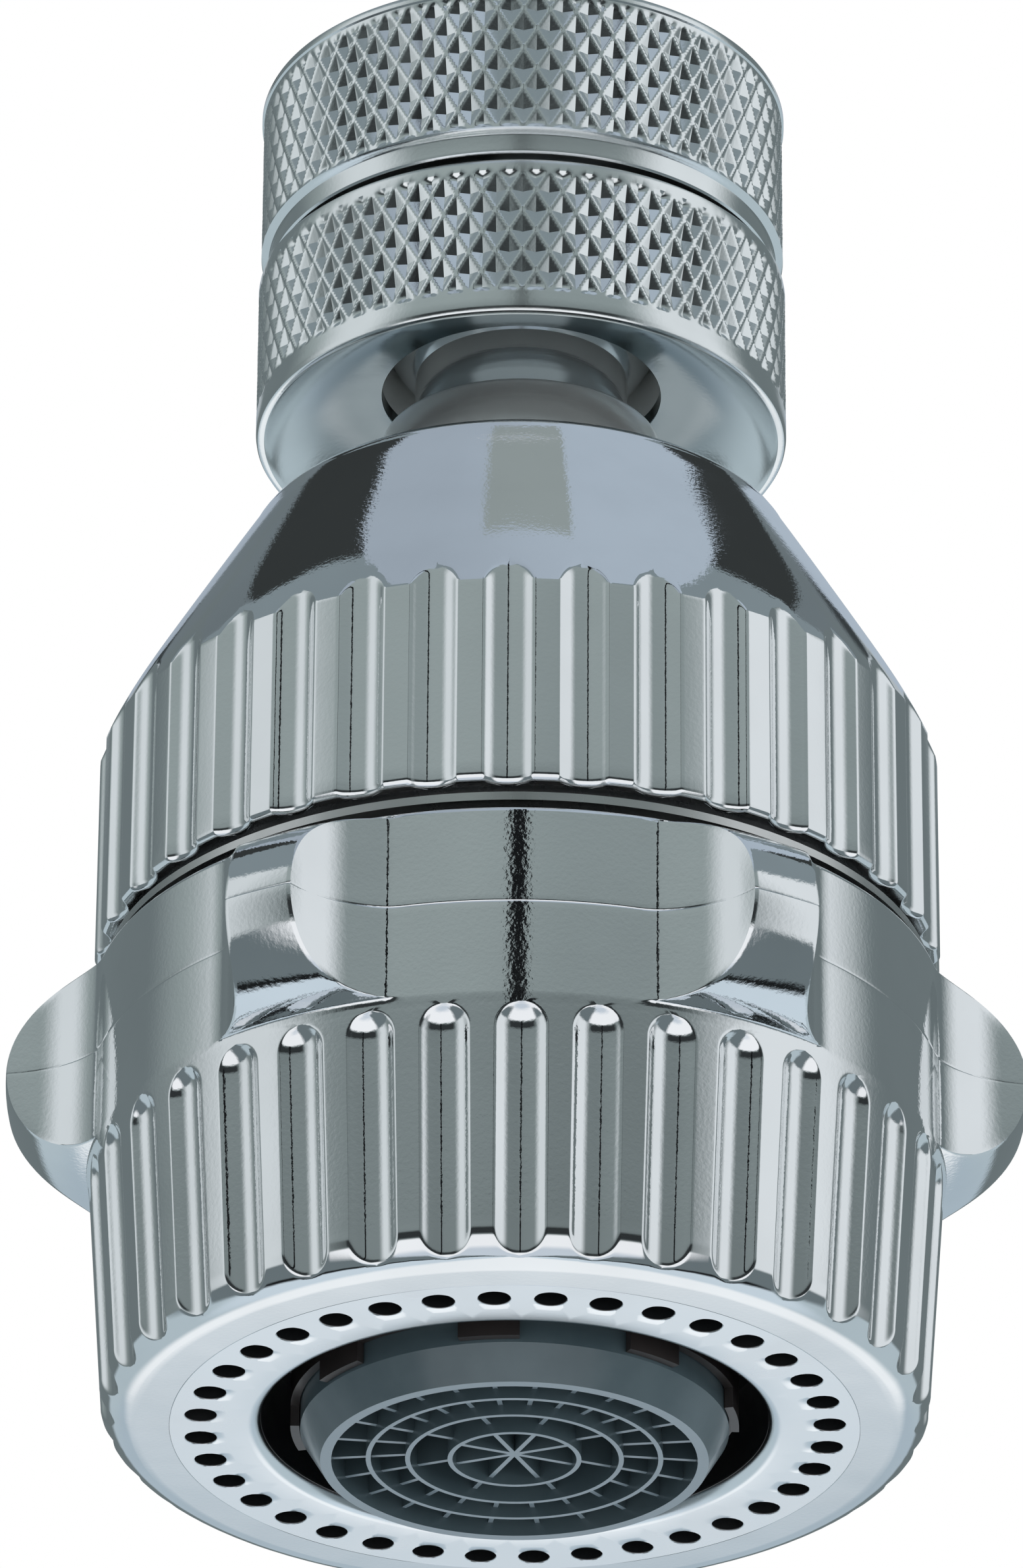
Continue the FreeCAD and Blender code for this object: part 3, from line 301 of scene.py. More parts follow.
def grip_sleeve():
    """Radius at angle a and height h: the land less the flutes, joined with a round bulge that a scallop
    between each two lobes cuts back to a flat floor and two hollow flanks."""
    height = sleeve_heights()
    land = sleeve_land(height)
    above = np.maximum(height - SCOOP_HEIGHT, 0)
    cutter = np.sqrt(np.maximum(SLEEVE_CUTTER_R ** 2 - above ** 2, 0))
    lean = (LAND_R - FOOT_R) / (TAPER_TOP - FOOT_ROUND)
    centre = FOOT_R + lean * (np.minimum(height, SCOOP_HEIGHT) - FOOT_ROUND) + SLEEVE_CUTTER_OUT
    fluted = height < FLUTES_END
    angle, offset = flute_angles(np.where(fluted, cutter_edge(land, centre, cutter), 0))
    flutes = soft_min(land[:, None], cutter_floor(offset, centre[:, None], cutter[:, None]), FLUTE_BLEND)
    radius = np.where(fluted[:, None], flutes, land[:, None])

    bulge = LOBE_R - LOBE_ROUND + np.sqrt(np.maximum(LOBE_ROUND ** 2 - (height - LOBE_HEIGHT) ** 2, 0))
    scallop_centre = math.hypot(SCALLOP_OUT, SCALLOP_ACROSS)
    scallop_angle = math.degrees(math.atan2(SCALLOP_ACROSS, SCALLOP_OUT))
    crest_edge = scallop_angle + cutter_edge(bulge, scallop_centre, SCALLOP_R)
    columns = angle.shape[1] // LOBES
    lobed = (np.arange(LOBES)[None, :, None] * 360.0 / LOBES + lobe_angles(crest_edge, columns)[:, None, :])
    lobed = lobed.reshape(len(height), -1)
    start = np.argmin(np.abs(lobed[0] - angle[0, 0]))
    lobed = np.concatenate([lobed[:, start:], lobed[:, :start] + 360.0], axis=1)
    share = np.clip((height - FLUTES_END) / (LOBES_START - FLUTES_END), 0, 1)[:, None]
    angle = angle + (lobed - angle) * share
    nearest = np.abs((angle + 30.0) % 60.0 - 30.0)
    floor_end = math.degrees(math.atan2(SCALLOP_ACROSS, SCALLOP_OUT - SCALLOP_R))
    flat = (SCALLOP_OUT - SCALLOP_R) / np.cos(np.radians(nearest))
    flank = cutter_floor(nearest - scallop_angle, scallop_centre, SCALLOP_R)
    scallop = np.where(nearest < floor_end, flat, flank)
    lobes = soft_min(np.repeat(bulge[:, None], angle.shape[1], axis=1), scallop, 0.14)
    radius = np.where((height > LOBES_START - 0.05)[:, None], -soft_min(-radius, -lobes, 0.2), radius)
    radius = radius - PARTING * np.exp(-((height - LOBE_HEIGHT) / 0.04) ** 2)[:, None]

    tail = sleeve_tail()
    radius = np.concatenate([radius, np.repeat(tail[:, :1], angle.shape[1], axis=1)])
    height = np.concatenate([height, tail[:, 1]])[:, None]
    angle = np.concatenate([angle, np.repeat(angle[-1:], len(tail), axis=0)])
    return shell("sleeve_shell", around(radius, angle + SLEEVE_TURN, height), crease=30)


def sleeve_tail():
    """The sleeve's section from its rounded top edge, down the bore and round the inward lip."""
    bow = np.radians(np.linspace(18, 90, 5))
    edge = np.stack([LAND_R - TOP_ROUND + TOP_ROUND * np.cos(bow), SLEEVE_TOP - TOP_ROUND + TOP_ROUND * np.sin(bow)],
                    axis=1)
    rest = np.array([
        (LAND_R - 0.5, SLEEVE_TOP),
        (SLEEVE_BORE_R + 0.05, SLEEVE_TOP),
        (SLEEVE_BORE_R, SLEEVE_TOP - 0.05),
        (SLEEVE_BORE_R, LIP_THICK),
        (LIP_BORE_R, LIP_THICK),
        (LIP_BORE_R, 0.02),
        (LIP_BORE_R + 0.02, 0.0),
        (FOOT_R - FOOT_ROUND - 0.3, 0.0),
    ])
    return np.concatenate([edge, rest])


def upper_housing():
    """Radius at angle a and height h: the drum and a faintly bowed cone, less upright round cutters, which
    run out on the cone. The bow is 4 b u (1 - u) + s u (1 - u)^4, with u the share of the way up."""
    cone_top = HOUSING_TOP - CONE_EDGE
    edge_turn = np.radians(np.linspace(12, 90, 8))
    run_out = DRUM_TOP + 0.94 * np.sin(np.radians(np.linspace(0, 90, 20)))
    height = np.concatenate([
        HOUSING_BOTTOM + DRUM_EDGE * (1 - np.cos(edge_turn)), [27.0, 32.0, 36.5, 37.2], run_out,
        np.linspace(38.7, 42.0, 9), np.linspace(43.0, cone_top - 0.1, 8)])
    tuck = np.zeros(len(height))
    tuck[:len(edge_turn)] = DRUM_EDGE * (1 - np.sin(edge_turn))
    share = np.clip((height - DRUM_TOP) / (cone_top - DRUM_TOP), 0, 1)
    swell = 4 * CONE_BOW * share * (1 - share) + CONE_SPRING * share * (1 - share) ** 4
    land = HOUSING_R - (HOUSING_R - CONE_TOP_R) * share + swell
    centre = HOUSING_R + HOUSING_CUTTER_OUT
    angle, offset = flute_angles(cutter_edge(land, centre, HOUSING_CUTTER_R))
    radius = soft_min(land[:, None], cutter_floor(offset, centre, HOUSING_CUTTER_R), FLUTE_BLEND)
    radius = radius - tuck[:, None]
    tail = np.array([
        (CONE_TOP_R + 0.02, 50.68), (CONE_TOP_R - 0.06, 50.86), (CONE_TOP_R - 0.2, 51.06),
        (CONE_TOP_R - 0.4, 51.22), (CONE_TOP_R - 0.6, HOUSING_TOP), (CONE_TOP_R - 0.8, HOUSING_TOP),
        (7.3, HOUSING_TOP), (7.25, 51.25), (7.25, 50.5), (5.85, 50.5), (5.85, 45.0), (9.5, 45.0), (9.5, 48.9),
        (13.45, 48.9), (19.4, 38.35), (19.4, 31.5), (20.2, 31.5), (20.2, 26.0), (20.25, 25.9), (21.0, 25.9),
    ])
    columns = angle.shape[1]
    radius = np.concatenate([radius, np.repeat(tail[:, :1], columns, axis=1)])
    height = np.concatenate([height, tail[:, 1]])[:, None]
    angle = np.concatenate([angle, np.repeat(angle[-1:], len(tail), axis=0)])
    return shell("housing_shell", around(radius, angle + HOUSING_TURN, height), crease=32)


def knurl(angle, height, start):
    """Depth of diamond pits: two families of ridges cross, and each pit is an upside-down pyramid.
    With p and q the turns past each family's ridge, the depth grows with the lesser distance from one."""
    across = angle * KNURL_COUNT / 360.0
    along = (height - start) / KNURL_LEAD
    first = np.abs((across + along) % 1.0 - 0.5) * 2
    second = np.abs((across - along) % 1.0 - 0.5) * 2
    pit = np.clip((np.minimum(1 - first, 1 - second) - KNURL_RIDGE) / (1 - KNURL_RIDGE), 0, 1)
    return KNURL_DEPTH * pit


def knurled(name, low, rows_high, radius, below, above):
    """A ring with a knurled band from a height up. Below and above are the rest of its section, and the
    grid's steps fit the knurl, so that the ridges run along the quads' corners."""
    high = low + rows_high * KNURL_LEAD
    height = np.linspace(low, high, round(rows_high * 2 * KNURL_STEPS) + 1)
    angle = np.arange(KNURL_COUNT * KNURL_STEPS)[None, :] * 360.0 / (KNURL_COUNT * KNURL_STEPS)
    fade = np.clip(np.minimum(height - low, high - height) / 0.35, 0, 1)
    band = radius - knurl(angle, height[:, None], low) * fade[:, None]
    columns = angle.shape[1]
    rows = [np.repeat(below[:, :1], columns, axis=1), band, np.repeat(above[:, :1], columns, axis=1)]
    heights = np.concatenate([below[:, 1], height, above[:, 1]])
    return shell(name, around(np.concatenate(rows), angle, heights[:, None]), crease=24)


def clamp_ring():
    """The lower knurled ring. Its bell is an arc through three points, from the lip down to the rim."""
    bell = arc_through((7.5, 60.75), (11.2, 60.1), (13.72, 57.8), 28)
    below = np.concatenate([
        np.array([(7.5, 61.6), (7.46, 60.9), (7.47, 60.8)]), bell,
        np.array([(13.76, 57.76), (13.84, 57.75), (13.98, 57.75), (14.1, 57.8), (14.17, 57.92), (RING_R, 58.1),
                  (RING_R, 58.6), (RING_R, 58.9)])])
    above = np.array([
        (RING_R, 66.75), (14.17, 66.92), (14.08, 67.04), (13.95, 67.1), (13.6, 67.1), (11.7, 67.1), (11.65, 67.05),
        (11.65, 61.6),
    ])
    return knurled("clamp_ring_knurled", 59.0, KNURL_ROWS, RING_R, below, above)


def inlet_adapter():
    """The upper knurled ring: smooth bands below and above the knurl, a ledge and a thread relief inside."""
    below = np.array([
        (10.46, 74.0), (10.9, 74.0), (10.9, 72.0), (8.9, 72.0), (8.9, 71.0), (10.1, 71.0), (10.1, 62.3),
        (11.6, 62.3), (11.6, 67.7), (13.4, 67.7), (13.58, 67.74), (13.68, 67.84), (13.7, 68.0), (13.7, 68.75),
        (13.72, 68.85), (13.86, 68.95), (13.98, 69.0),
    ])
    above = np.array([
        (14.1, 77.45), (RING_R, 77.52), (RING_R, 77.82), (14.15, 77.94), (14.0, 78.0), (13.8, 78.0), (10.6, 78.0),
        (10.46, 77.9),
    ])
    return knurled("inlet_adapter_knurled", 69.1, KNURL_ROWS + 0.375, RING_R - 0.1, below, above)


def inlet_thread():
    """Female thread: its radius is a rounded saw of the height less the turn, so it climbs one pitch a turn."""
    pitch, depth, crest = 1.0, 0.4, 10.42
    height = np.linspace(74.02, 77.9, 80)[:, None]
    angle = np.arange(180)[None, :] * 2.0
    saw = np.abs((height / pitch - angle / 360.0) % 1.0 - 0.5) * 2
    fade = np.clip((77.9 - height) / 0.5, 0, 1)
    inner = around(crest + (depth * (1 - np.clip(saw * 1.25, 0, 1)) - 0.02) * fade, angle, height)[::-1]
    back = around(crest + depth + 0.06, angle, np.array([[74.02], [77.9]]))
    return shell("inlet_thread_helix", np.concatenate([inner, back]), crease=50)


def ball_stem():
    """Ball, neck and collar, turned in one piece: a solid of revolution of one closed section."""
    join = -math.degrees(math.acos(NECK_R / BALL_R))
    cut = math.degrees(math.asin(3.6 / BALL_R))
    bow = np.radians(np.linspace(join, cut, 40))
    ball = np.stack([BALL_R * np.cos(bow), BALL_HEIGHT + BALL_R * np.sin(bow)], axis=1)
    section = outline(
        (STEM_BORE_R, 44.5, 0), (5.8, 44.5, 0.3), (5.8, 51.3, 0), (7.45, 51.3, 0.06), (7.45, 57.65, 0.22),
        (NECK_R, 57.65, 0.12), ball, (5.6, 71.0, 0.1), (STEM_BORE_R, 66.9, 0))
    angle = np.arange(192)[None, :] * 360.0 / 192
    return shell("ball_stem_turned", around(section[:, :1], angle, section[:, 1:]))


def plate_sector(inner, outer, rim_r, height, rim_height):
    """A flat sheet round one spray hole: each point is rim + share * (border - rim), where the border is
    the sector's four sides and the rim is the hole's circle."""
    half = math.radians(180.0 / HOLES)
    step = np.linspace(-1, 1, HOLE_STEPS + 1)[:-1]
    flat = np.ones(HOLE_STEPS)
    angle = np.concatenate([step, flat, -step, -flat]) * half
    middle_r, reach = (inner + outer) / 2, (outer - inner) / 2
    radius = np.concatenate([inner * flat, middle_r + reach * step, outer * flat, middle_r - reach * step])
    border = np.stack([radius * np.sin(angle), radius * np.cos(angle)], axis=1)
    middle = np.array([0.0, HOLE_CIRCLE_R])
    spokes = (border - middle) / np.linalg.norm(border - middle, axis=1)[:, None]
    shares = np.array([0.0, 0.04, 0.3, 1.0])[:, None, None]
    sheet = middle + spokes * rim_r + shares * (border - middle - spokes * rim_r)
    heights = np.array([rim_height, height, height, height])
    return sheet, np.broadcast_to(heights[:, None], sheet.shape[:2])


def spray_plate():
    """The face with its 36 bores, the back, the flange, the tube and the rolled lip round the opening."""
    lip_r = OPENING_R + OPENING_ROUND
    tube_r = OPENING_R + 1.0
    rim = PLATE_R - 0.02
    face, face_height = plate_sector(lip_r, rim, HOLE_R, 0.0, 0.03)
    back, back_height = plate_sector(tube_r, rim, HOLE_R, PLATE_BACK, PLATE_BACK)
    flat = np.concatenate([face[::-1], back])
    height = np.concatenate([face_height[::-1], back_height])
    turn = np.radians(PLATE_TURN + np.arange(HOLES) * 360.0 / HOLES)[:, None, None]
    x = flat[None, :, :, 0] * np.cos(turn) + flat[None, :, :, 1] * np.sin(turn)
    y = flat[None, :, :, 0] * np.sin(turn) - flat[None, :, :, 1] * np.cos(turn)
    sheet = np.stack([x, y, np.broadcast_to(lift(height)[None], x.shape)], axis=-1)
    count = flat.shape[0] * flat.shape[1]
    faces = grid_faces(flat.shape[0], flat.shape[1], False)[None] + (np.arange(HOLES) * count)[:, None, None]
    angle = PLATE_TURN - 180.0 / HOLES + np.arange(HOLES * HOLE_STEPS)[None, :] * 360.0 / (HOLES * HOLE_STEPS)
    roll = np.radians(np.linspace(90, 0, 12))
    outer = np.array([(rim, 0.0), (PLATE_R, 0.02), (PLATE_R, LIP_THICK), (19.35, LIP_THICK), (19.35, PLATE_BACK),
                      (rim, PLATE_BACK)])
    lip = np.stack([lip_r - OPENING_ROUND * np.sin(roll), OPENING_ROUND - OPENING_ROUND * np.cos(roll)], axis=1)
    inner = np.concatenate([np.array([(tube_r, PLATE_BACK), (tube_r, 5.0), (OPENING_R, 5.0), (OPENING_R, 0.8)]), lip])
    points, quads, start = [sheet.reshape(-1, 3)], [faces.reshape(-1, 4)], HOLES * count
    for section in (outer, inner):
        part = around(section[:, :1], angle, section[:, 1:])
        points.append(part.reshape(-1, 3))
        quads.append(grid_faces(part.shape[0], part.shape[1], False) + start)
        start += part.shape[0] * part.shape[1]
    return finish_mesh("spray_plate_face", np.concatenate(points), np.concatenate(quads), crease=32, weld=True)


class Wire:
    """A shader value. Python's operators on it add the Math node that does them."""

    def __init__(self, kit, socket):
        self.kit = kit
        self.socket = socket

    def maths(self, operation, *others):
        return self.kit.node("ShaderNodeMath", {"operation": operation}, (self,) + others)

    def output(self, name):
        """Another output of the same node."""
        return Wire(self.kit, self.socket.node.outputs[name])

    def __add__(self, other):
        return self.maths("ADD", other)

    def __radd__(self, other):
        return self.maths("ADD", other)

    def __sub__(self, other):
        return self.maths("SUBTRACT", other)

    def __rsub__(self, other):
        return self.kit.node("ShaderNodeMath", {"operation": "SUBTRACT"}, (other, self))

    def __mul__(self, other):
        return self.maths("MULTIPLY", other)

    def __rmul__(self, other):
        return self.maths("MULTIPLY", other)

    def __truediv__(self, other):
        return self.maths("DIVIDE", other)

    def size(self):
        return self.maths("ABSOLUTE")

    def waves(self, per_unit):
        return (self * (2 * math.pi * per_unit)).maths("SINE")

    def rises(self, start, end):
        """0 below start, 1 past end, smooth between."""
        return self.kit.node("ShaderNodeMapRange", {"interpolation_type": "SMOOTHSTEP"},
                             (self, start, end, 0.0, 1.0))

    def falls(self, start, end):
        return 1.0 - self.rises(start, end)


class Kit:
    """Adds nodes to one tree."""

    def __init__(self, tree):
        self.tree = tree

    def plug(self, socket, value):
        if isinstance(value, Wire):
            self.tree.links.new(value.socket, socket)
        else:
            socket.default_value = value

    def node(self, kind, settings=None, sockets=(), out=0):
        """A node of a kind, with its settings set first and then its sockets, by place or by name."""
        made = self.tree.nodes.new(kind)
        for name, value in (settings or {}).items():
            setattr(made, name, value)
        for socket, value in sockets.items() if isinstance(sockets, dict) else enumerate(sockets):
            self.plug(made.inputs[socket], value)
        return Wire(self, made.outputs[out])

    def place(self, stretch=(1.0, 1.0, 1.0)):
        where = self.node("ShaderNodeTexCoord", out="Object")
        if stretch == (1.0, 1.0, 1.0):
            return where
        return self.node("ShaderNodeMapping", sockets={"Vector": where, "Scale": stretch})

    def axes(self, vector):
        parts = self.node("ShaderNodeSeparateXYZ", sockets=(vector,))
        return parts, parts.output("Y"), parts.output("Z")

    def noise(self, scale, detail=2.0, stretch=(1.0, 1.0, 1.0)):
        return self.node("ShaderNodeTexNoise", sockets={
            "Vector": self.place(stretch), "Scale": scale, "Detail": detail})

    def blend(self, share, first, second):
        """From the first colour to the second."""
        return self.node("ShaderNodeMix", {"data_type": "RGBA"}, {0: share, 6: first, 7: second}, out=2)


def material(name, **settings):
    """A material with a Principled shader: (material, kit, shader node)."""
    made = bpy.data.materials.new(name)
    made.use_nodes = True
    shader = made.node_tree.nodes["Principled BSDF"]
    for key, value in settings.items():
        shader.inputs[key.replace("_", " ")].default_value = value
    return made, Kit(made.node_tree), shader


def bump(kit, shader, height, distance):
    kit.plug(shader.inputs["Normal"], kit.node("ShaderNodeBump", sockets={"Distance": distance, "Height": height}))


def chrome(name, tint, rough, grain, wave=0.0, stretch=(1.0, 1.0, 1.0), painted_cavity_shade=None, metal=1.0):
    """Plated metal: a mirror with a fine grain and slow waves in it, and a trace of haze. The grain is
    drawn out into turned lines where its coordinates are stretched. A painted shade (lowest height, highest
    height, outer radius, shade colour) darkens the base colour towards the axis between the two heights,
    standing in for the shade deep in a hollow. The rounded foot is polished smoother."""
    made, kit, shader = material(name, Metallic=metal)
    haze = kit.noise(160.0, 4.0)
    plated = kit.blend(haze.rises(0.35, 0.8), tint, [0.94 * part for part in tint[:3]] + [1])
    x, y, z = kit.axes(kit.place())
    # Painted shade: between two heights the base colour darkens towards the axis, for the shade in the hollow.
    if painted_cavity_shade:
        low, high, outer, shade = painted_cavity_shade
        inside = (x * x + y * y).maths("SQRT").falls((outer - 4.5) * MM, outer * MM)
        inside = inside * z.rises((lift(low) - 0.1) * MM, (lift(low) + 0.1) * MM) * z.falls(
            (lift(high) - 0.1) * MM, (lift(high) + 0.1) * MM)
        plated = kit.blend(inside, plated, shade)
    kit.plug(shader.inputs["Base Color"], plated)
    kit.plug(shader.inputs["Roughness"], rough + rough * haze.rises(0.45, 0.75))
    height = kit.noise(GRAIN_SCALE, 2.0, stretch) * (0.1 + 0.9 * z.rises(lift(1.2) * MM, lift(3.0) * MM)) * grain
    if wave:
        height = height + kit.noise(WAVE_SCALE, 1.0) * wave
    bump(kit, shader, height, MM)
    return made


GRAIN_SCALE = 4500.0
WAVE_SCALE = 260.0
TURNED = (0.04, 0.04, 1.0)


def bored_chrome(name, tint, rough, grain):
    """Satin plating that ends in the spray holes and behind the rolled lip; past that, the walls take a painted shade
    of near-black, matt colour.
    """
    made, kit, shader = material(name)
    x, y, z = kit.axes(kit.place())
    radius = (x * x + y * y).maths("SQRT")
    depth = z - lift(0.0) * MM
    # Painted shade: past this depth the walls of the holes and of the opening turn near-black, matt and non-metal.
    start = radius.falls(13.7 * MM, 14.0 * MM) * (0.5 * MM) + 0.01 * MM
    painted_hole_shade = (depth - start).rises(0.0, 0.08 * MM)
    haze = kit.noise(160.0, 4.0)
    plated = kit.blend(haze.rises(0.35, 0.8), tint, [0.96 * part for part in tint[:3]] + [1])
    kit.plug(shader.inputs["Base Color"], kit.blend(painted_hole_shade, plated, (0.008, 0.009, 0.01, 1)))
    kit.plug(shader.inputs["Roughness"], rough + rough * haze.rises(0.45, 0.75) + painted_hole_shade * 0.2)
    kit.plug(shader.inputs["Metallic"], 1.0 - painted_hole_shade)
    bump(kit, shader, kit.noise(GRAIN_SCALE, 1.0) * grain, MM)
    return made


def plastic(name, dark, pale, rough, grain, coat=0.0):
    """Moulded plastic: a fine grain, and a slight drift between two near colours."""
    made, kit, shader = material(name, Coat_Weight=coat, Coat_Roughness=0.15)
    kit.plug(shader.inputs["Base Color"], kit.blend(kit.noise(260.0, 4.0).rises(0.3, 0.7), dark, pale))
    kit.plug(shader.inputs["Roughness"], rough + 0.12 * kit.noise(900.0))
    bump(kit, shader, kit.noise(6000.0) * grain, MM)
    return made


def plastic_with_painted_sheen(name, dark, pale, edge):
    """The aerator's moulded plastic, with a painted highlight: paler on its lowest faces, which point down."""
    made, kit, shader = material(name, Coat_Weight=0.35, Coat_Roughness=0.12)
    x, y, z = kit.axes(kit.place())
    # Painted highlight: the lowest downward faces take the paler edge colour, standing in for their sheen.
    down = kit.axes(kit.node("ShaderNodeTexCoord", out="Normal"))[2].falls(-0.9, -0.5)
    lowest = z.falls((lift(0.0) - 0.95) * MM, (lift(0.0) - 0.75) * MM)
    moulded = kit.blend(kit.noise(260.0, 4.0).rises(0.3, 0.7), dark, pale)
    kit.plug(shader.inputs["Base Color"], kit.blend(down * lowest, moulded, edge))
    kit.plug(shader.inputs["Roughness"], 0.28 + 0.12 * kit.noise(900.0))
    bump(kit, shader, kit.noise(6000.0) * 0.003, MM)
    return made


def woven_screen(name):
    """Steel mesh: two families of wires cross 0.4 mm apart, and the gaps between them are dark."""
    made, kit, shader = material(name, Metallic=1.0, Roughness=0.35)
    x, y, z = kit.axes(kit.place())
    weave = x.waves(2500.0).maths("MAXIMUM", y.waves(2500.0))
    kit.plug(shader.inputs["Base Color"], kit.blend(
        weave.rises(0.1, 0.8), (0.01, 0.011, 0.012, 1), (0.45, 0.46, 0.47, 1)))
    bump(kit, shader, weave, 0.00008)
    return made


MATERIALS = {
    "chrome": chrome("chrome", (0.87, 0.88, 0.885, 1), 0.03, 0.0052, 0.006),
    "satin_chrome": bored_chrome("satin_chrome", (0.92, 0.94, 0.955, 1), 0.2, 0.0007),
    "steel": chrome("steel", (0.62, 0.62, 0.61, 1), 0.22, 0.002),
    "black_plastic": plastic("black_plastic", (0.006, 0.007, 0.008, 1), (0.012, 0.013, 0.015, 1), 0.22, 0.002),
    "white_plastic": plastic("white_plastic", (0.74, 0.74, 0.71, 1), (0.8, 0.8, 0.77, 1), 0.4, 0.003),
    "grey_plastic": plastic("grey_plastic", (0.2, 0.2, 0.21, 1), (0.25, 0.25, 0.26, 1), 0.45, 0.004),
    # slate_plastic: its third colour is a painted highlight on the lowest downward edges.
    "slate_plastic": plastic_with_painted_sheen("slate_plastic", (0.052, 0.08, 0.093, 1), (0.07, 0.102, 0.116, 1),
                                 (0.2, 0.26, 0.3, 1)),
    "brown_plastic": plastic("brown_plastic", (0.017, 0.015, 0.015, 1), (0.034, 0.029, 0.028, 1), 0.3, 0.003, 0.2),
    "ceramic": plastic("ceramic", (0.8, 0.79, 0.75, 1), (0.86, 0.85, 0.81, 1), 0.2, 0.001),
    "rubber": plastic("rubber", (0.01, 0.01, 0.011, 1), (0.022, 0.022, 0.023, 1), 0.6, 0.006),
}
MESH = woven_screen("woven_screen")
HOUSING_CHROME = chrome("housing_chrome", (0.87, 0.88, 0.885, 1), 0.03, 0.003, 0.005)
# Painted shade: the neck and collar darken inside the bell above 57.8 mm.
TURNED_CHROME = chrome("turned_chrome", (0.76, 0.8, 0.8, 1), 0.12, 0.006, stretch=TURNED, metal=0.82,
                       painted_cavity_shade=(57.8, 72.0, 12.0, (0.6, 0.64, 0.65, 1)))
# Painted shade: the clamp ring's bell darkens towards the axis between 57.7 and 62 mm.
KNURLED = chrome("knurled_chrome", (0.86, 0.88, 0.88, 1), 0.12, 0.003,
                 painted_cavity_shade=(57.7, 62.0, 13.5, (0.25, 0.29, 0.3, 1)))


def paint(piece, finish):
    """Gives a piece one material."""
    piece.data.materials.clear()
    piece.data.materials.append(finish)


def dress(piece, body, slot, stands_for, finish=None):
    """A new piece rides on its body, takes its finish and stands for its CAD nodes."""
    paint(piece, finish or MATERIALS[slot])
    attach(piece, body)
    if stands_for:
        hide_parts(*stands_for)


def make_pieces():
    """Every piece of the object that isn't a plain CAD node."""
    for subpart in frame["record"]["subparts"]:
        paint(nodes[subpart["node"]], MATERIALS[subpart["material_slot"]])
    paint(nodes["mesh_screens"], MESH)
    dress(grip_sleeve(), "sleeve", "chrome", ["grip_sleeve"])
    dress(upper_housing(), "head", "chrome", ["upper_housing"], HOUSING_CHROME)
    dress(clamp_ring(), "adapter", "chrome", ["clamp_ring"], KNURLED)
    dress(inlet_adapter(), "adapter", "chrome", ["inlet_adapter"], KNURLED)
    dress(inlet_thread(), "adapter", "chrome", [], KNURLED)
    dress(ball_stem(), "head", "chrome", ["ball_stem"], TURNED_CHROME)
    dress(spray_plate(), "sleeve", "satin_chrome", ["spray_plate"])


def camera():
    """The photograph's camera: below the head, looking up at it."""
    back = Vector((0, -math.cos(math.radians(CAMERA_ELEVATION)), math.sin(math.radians(CAMERA_ELEVATION))))
    right = Vector((1, 0, 0))
    up = back.cross(right)
    roll = math.radians(CAMERA_ROLL)
    turned_right = right * math.cos(roll) + up * math.sin(roll)
    turned_up = up * math.cos(roll) - right * math.sin(roll)
    target = Vector((CAMERA_TARGET[0], CAMERA_TARGET[1], lift(CAMERA_TARGET[2])))
    place = Matrix((turned_right, turned_up, back)).transposed().to_4x4()
    place.translation = (target + back * CAMERA_DISTANCE) * MM
    lens = bpy.data.cameras.new("photo_camera")
    lens.lens = CAMERA_LENS
    lens.sensor_width = 36.0
    lens.clip_start = 0.01
    lens.clip_end = 20.0
    viewer = bpy.data.objects.new("photo_camera", lens)
    viewer.matrix_world = place
    bpy.context.scene.collection.objects.link(viewer)
    bpy.context.scene.camera = viewer


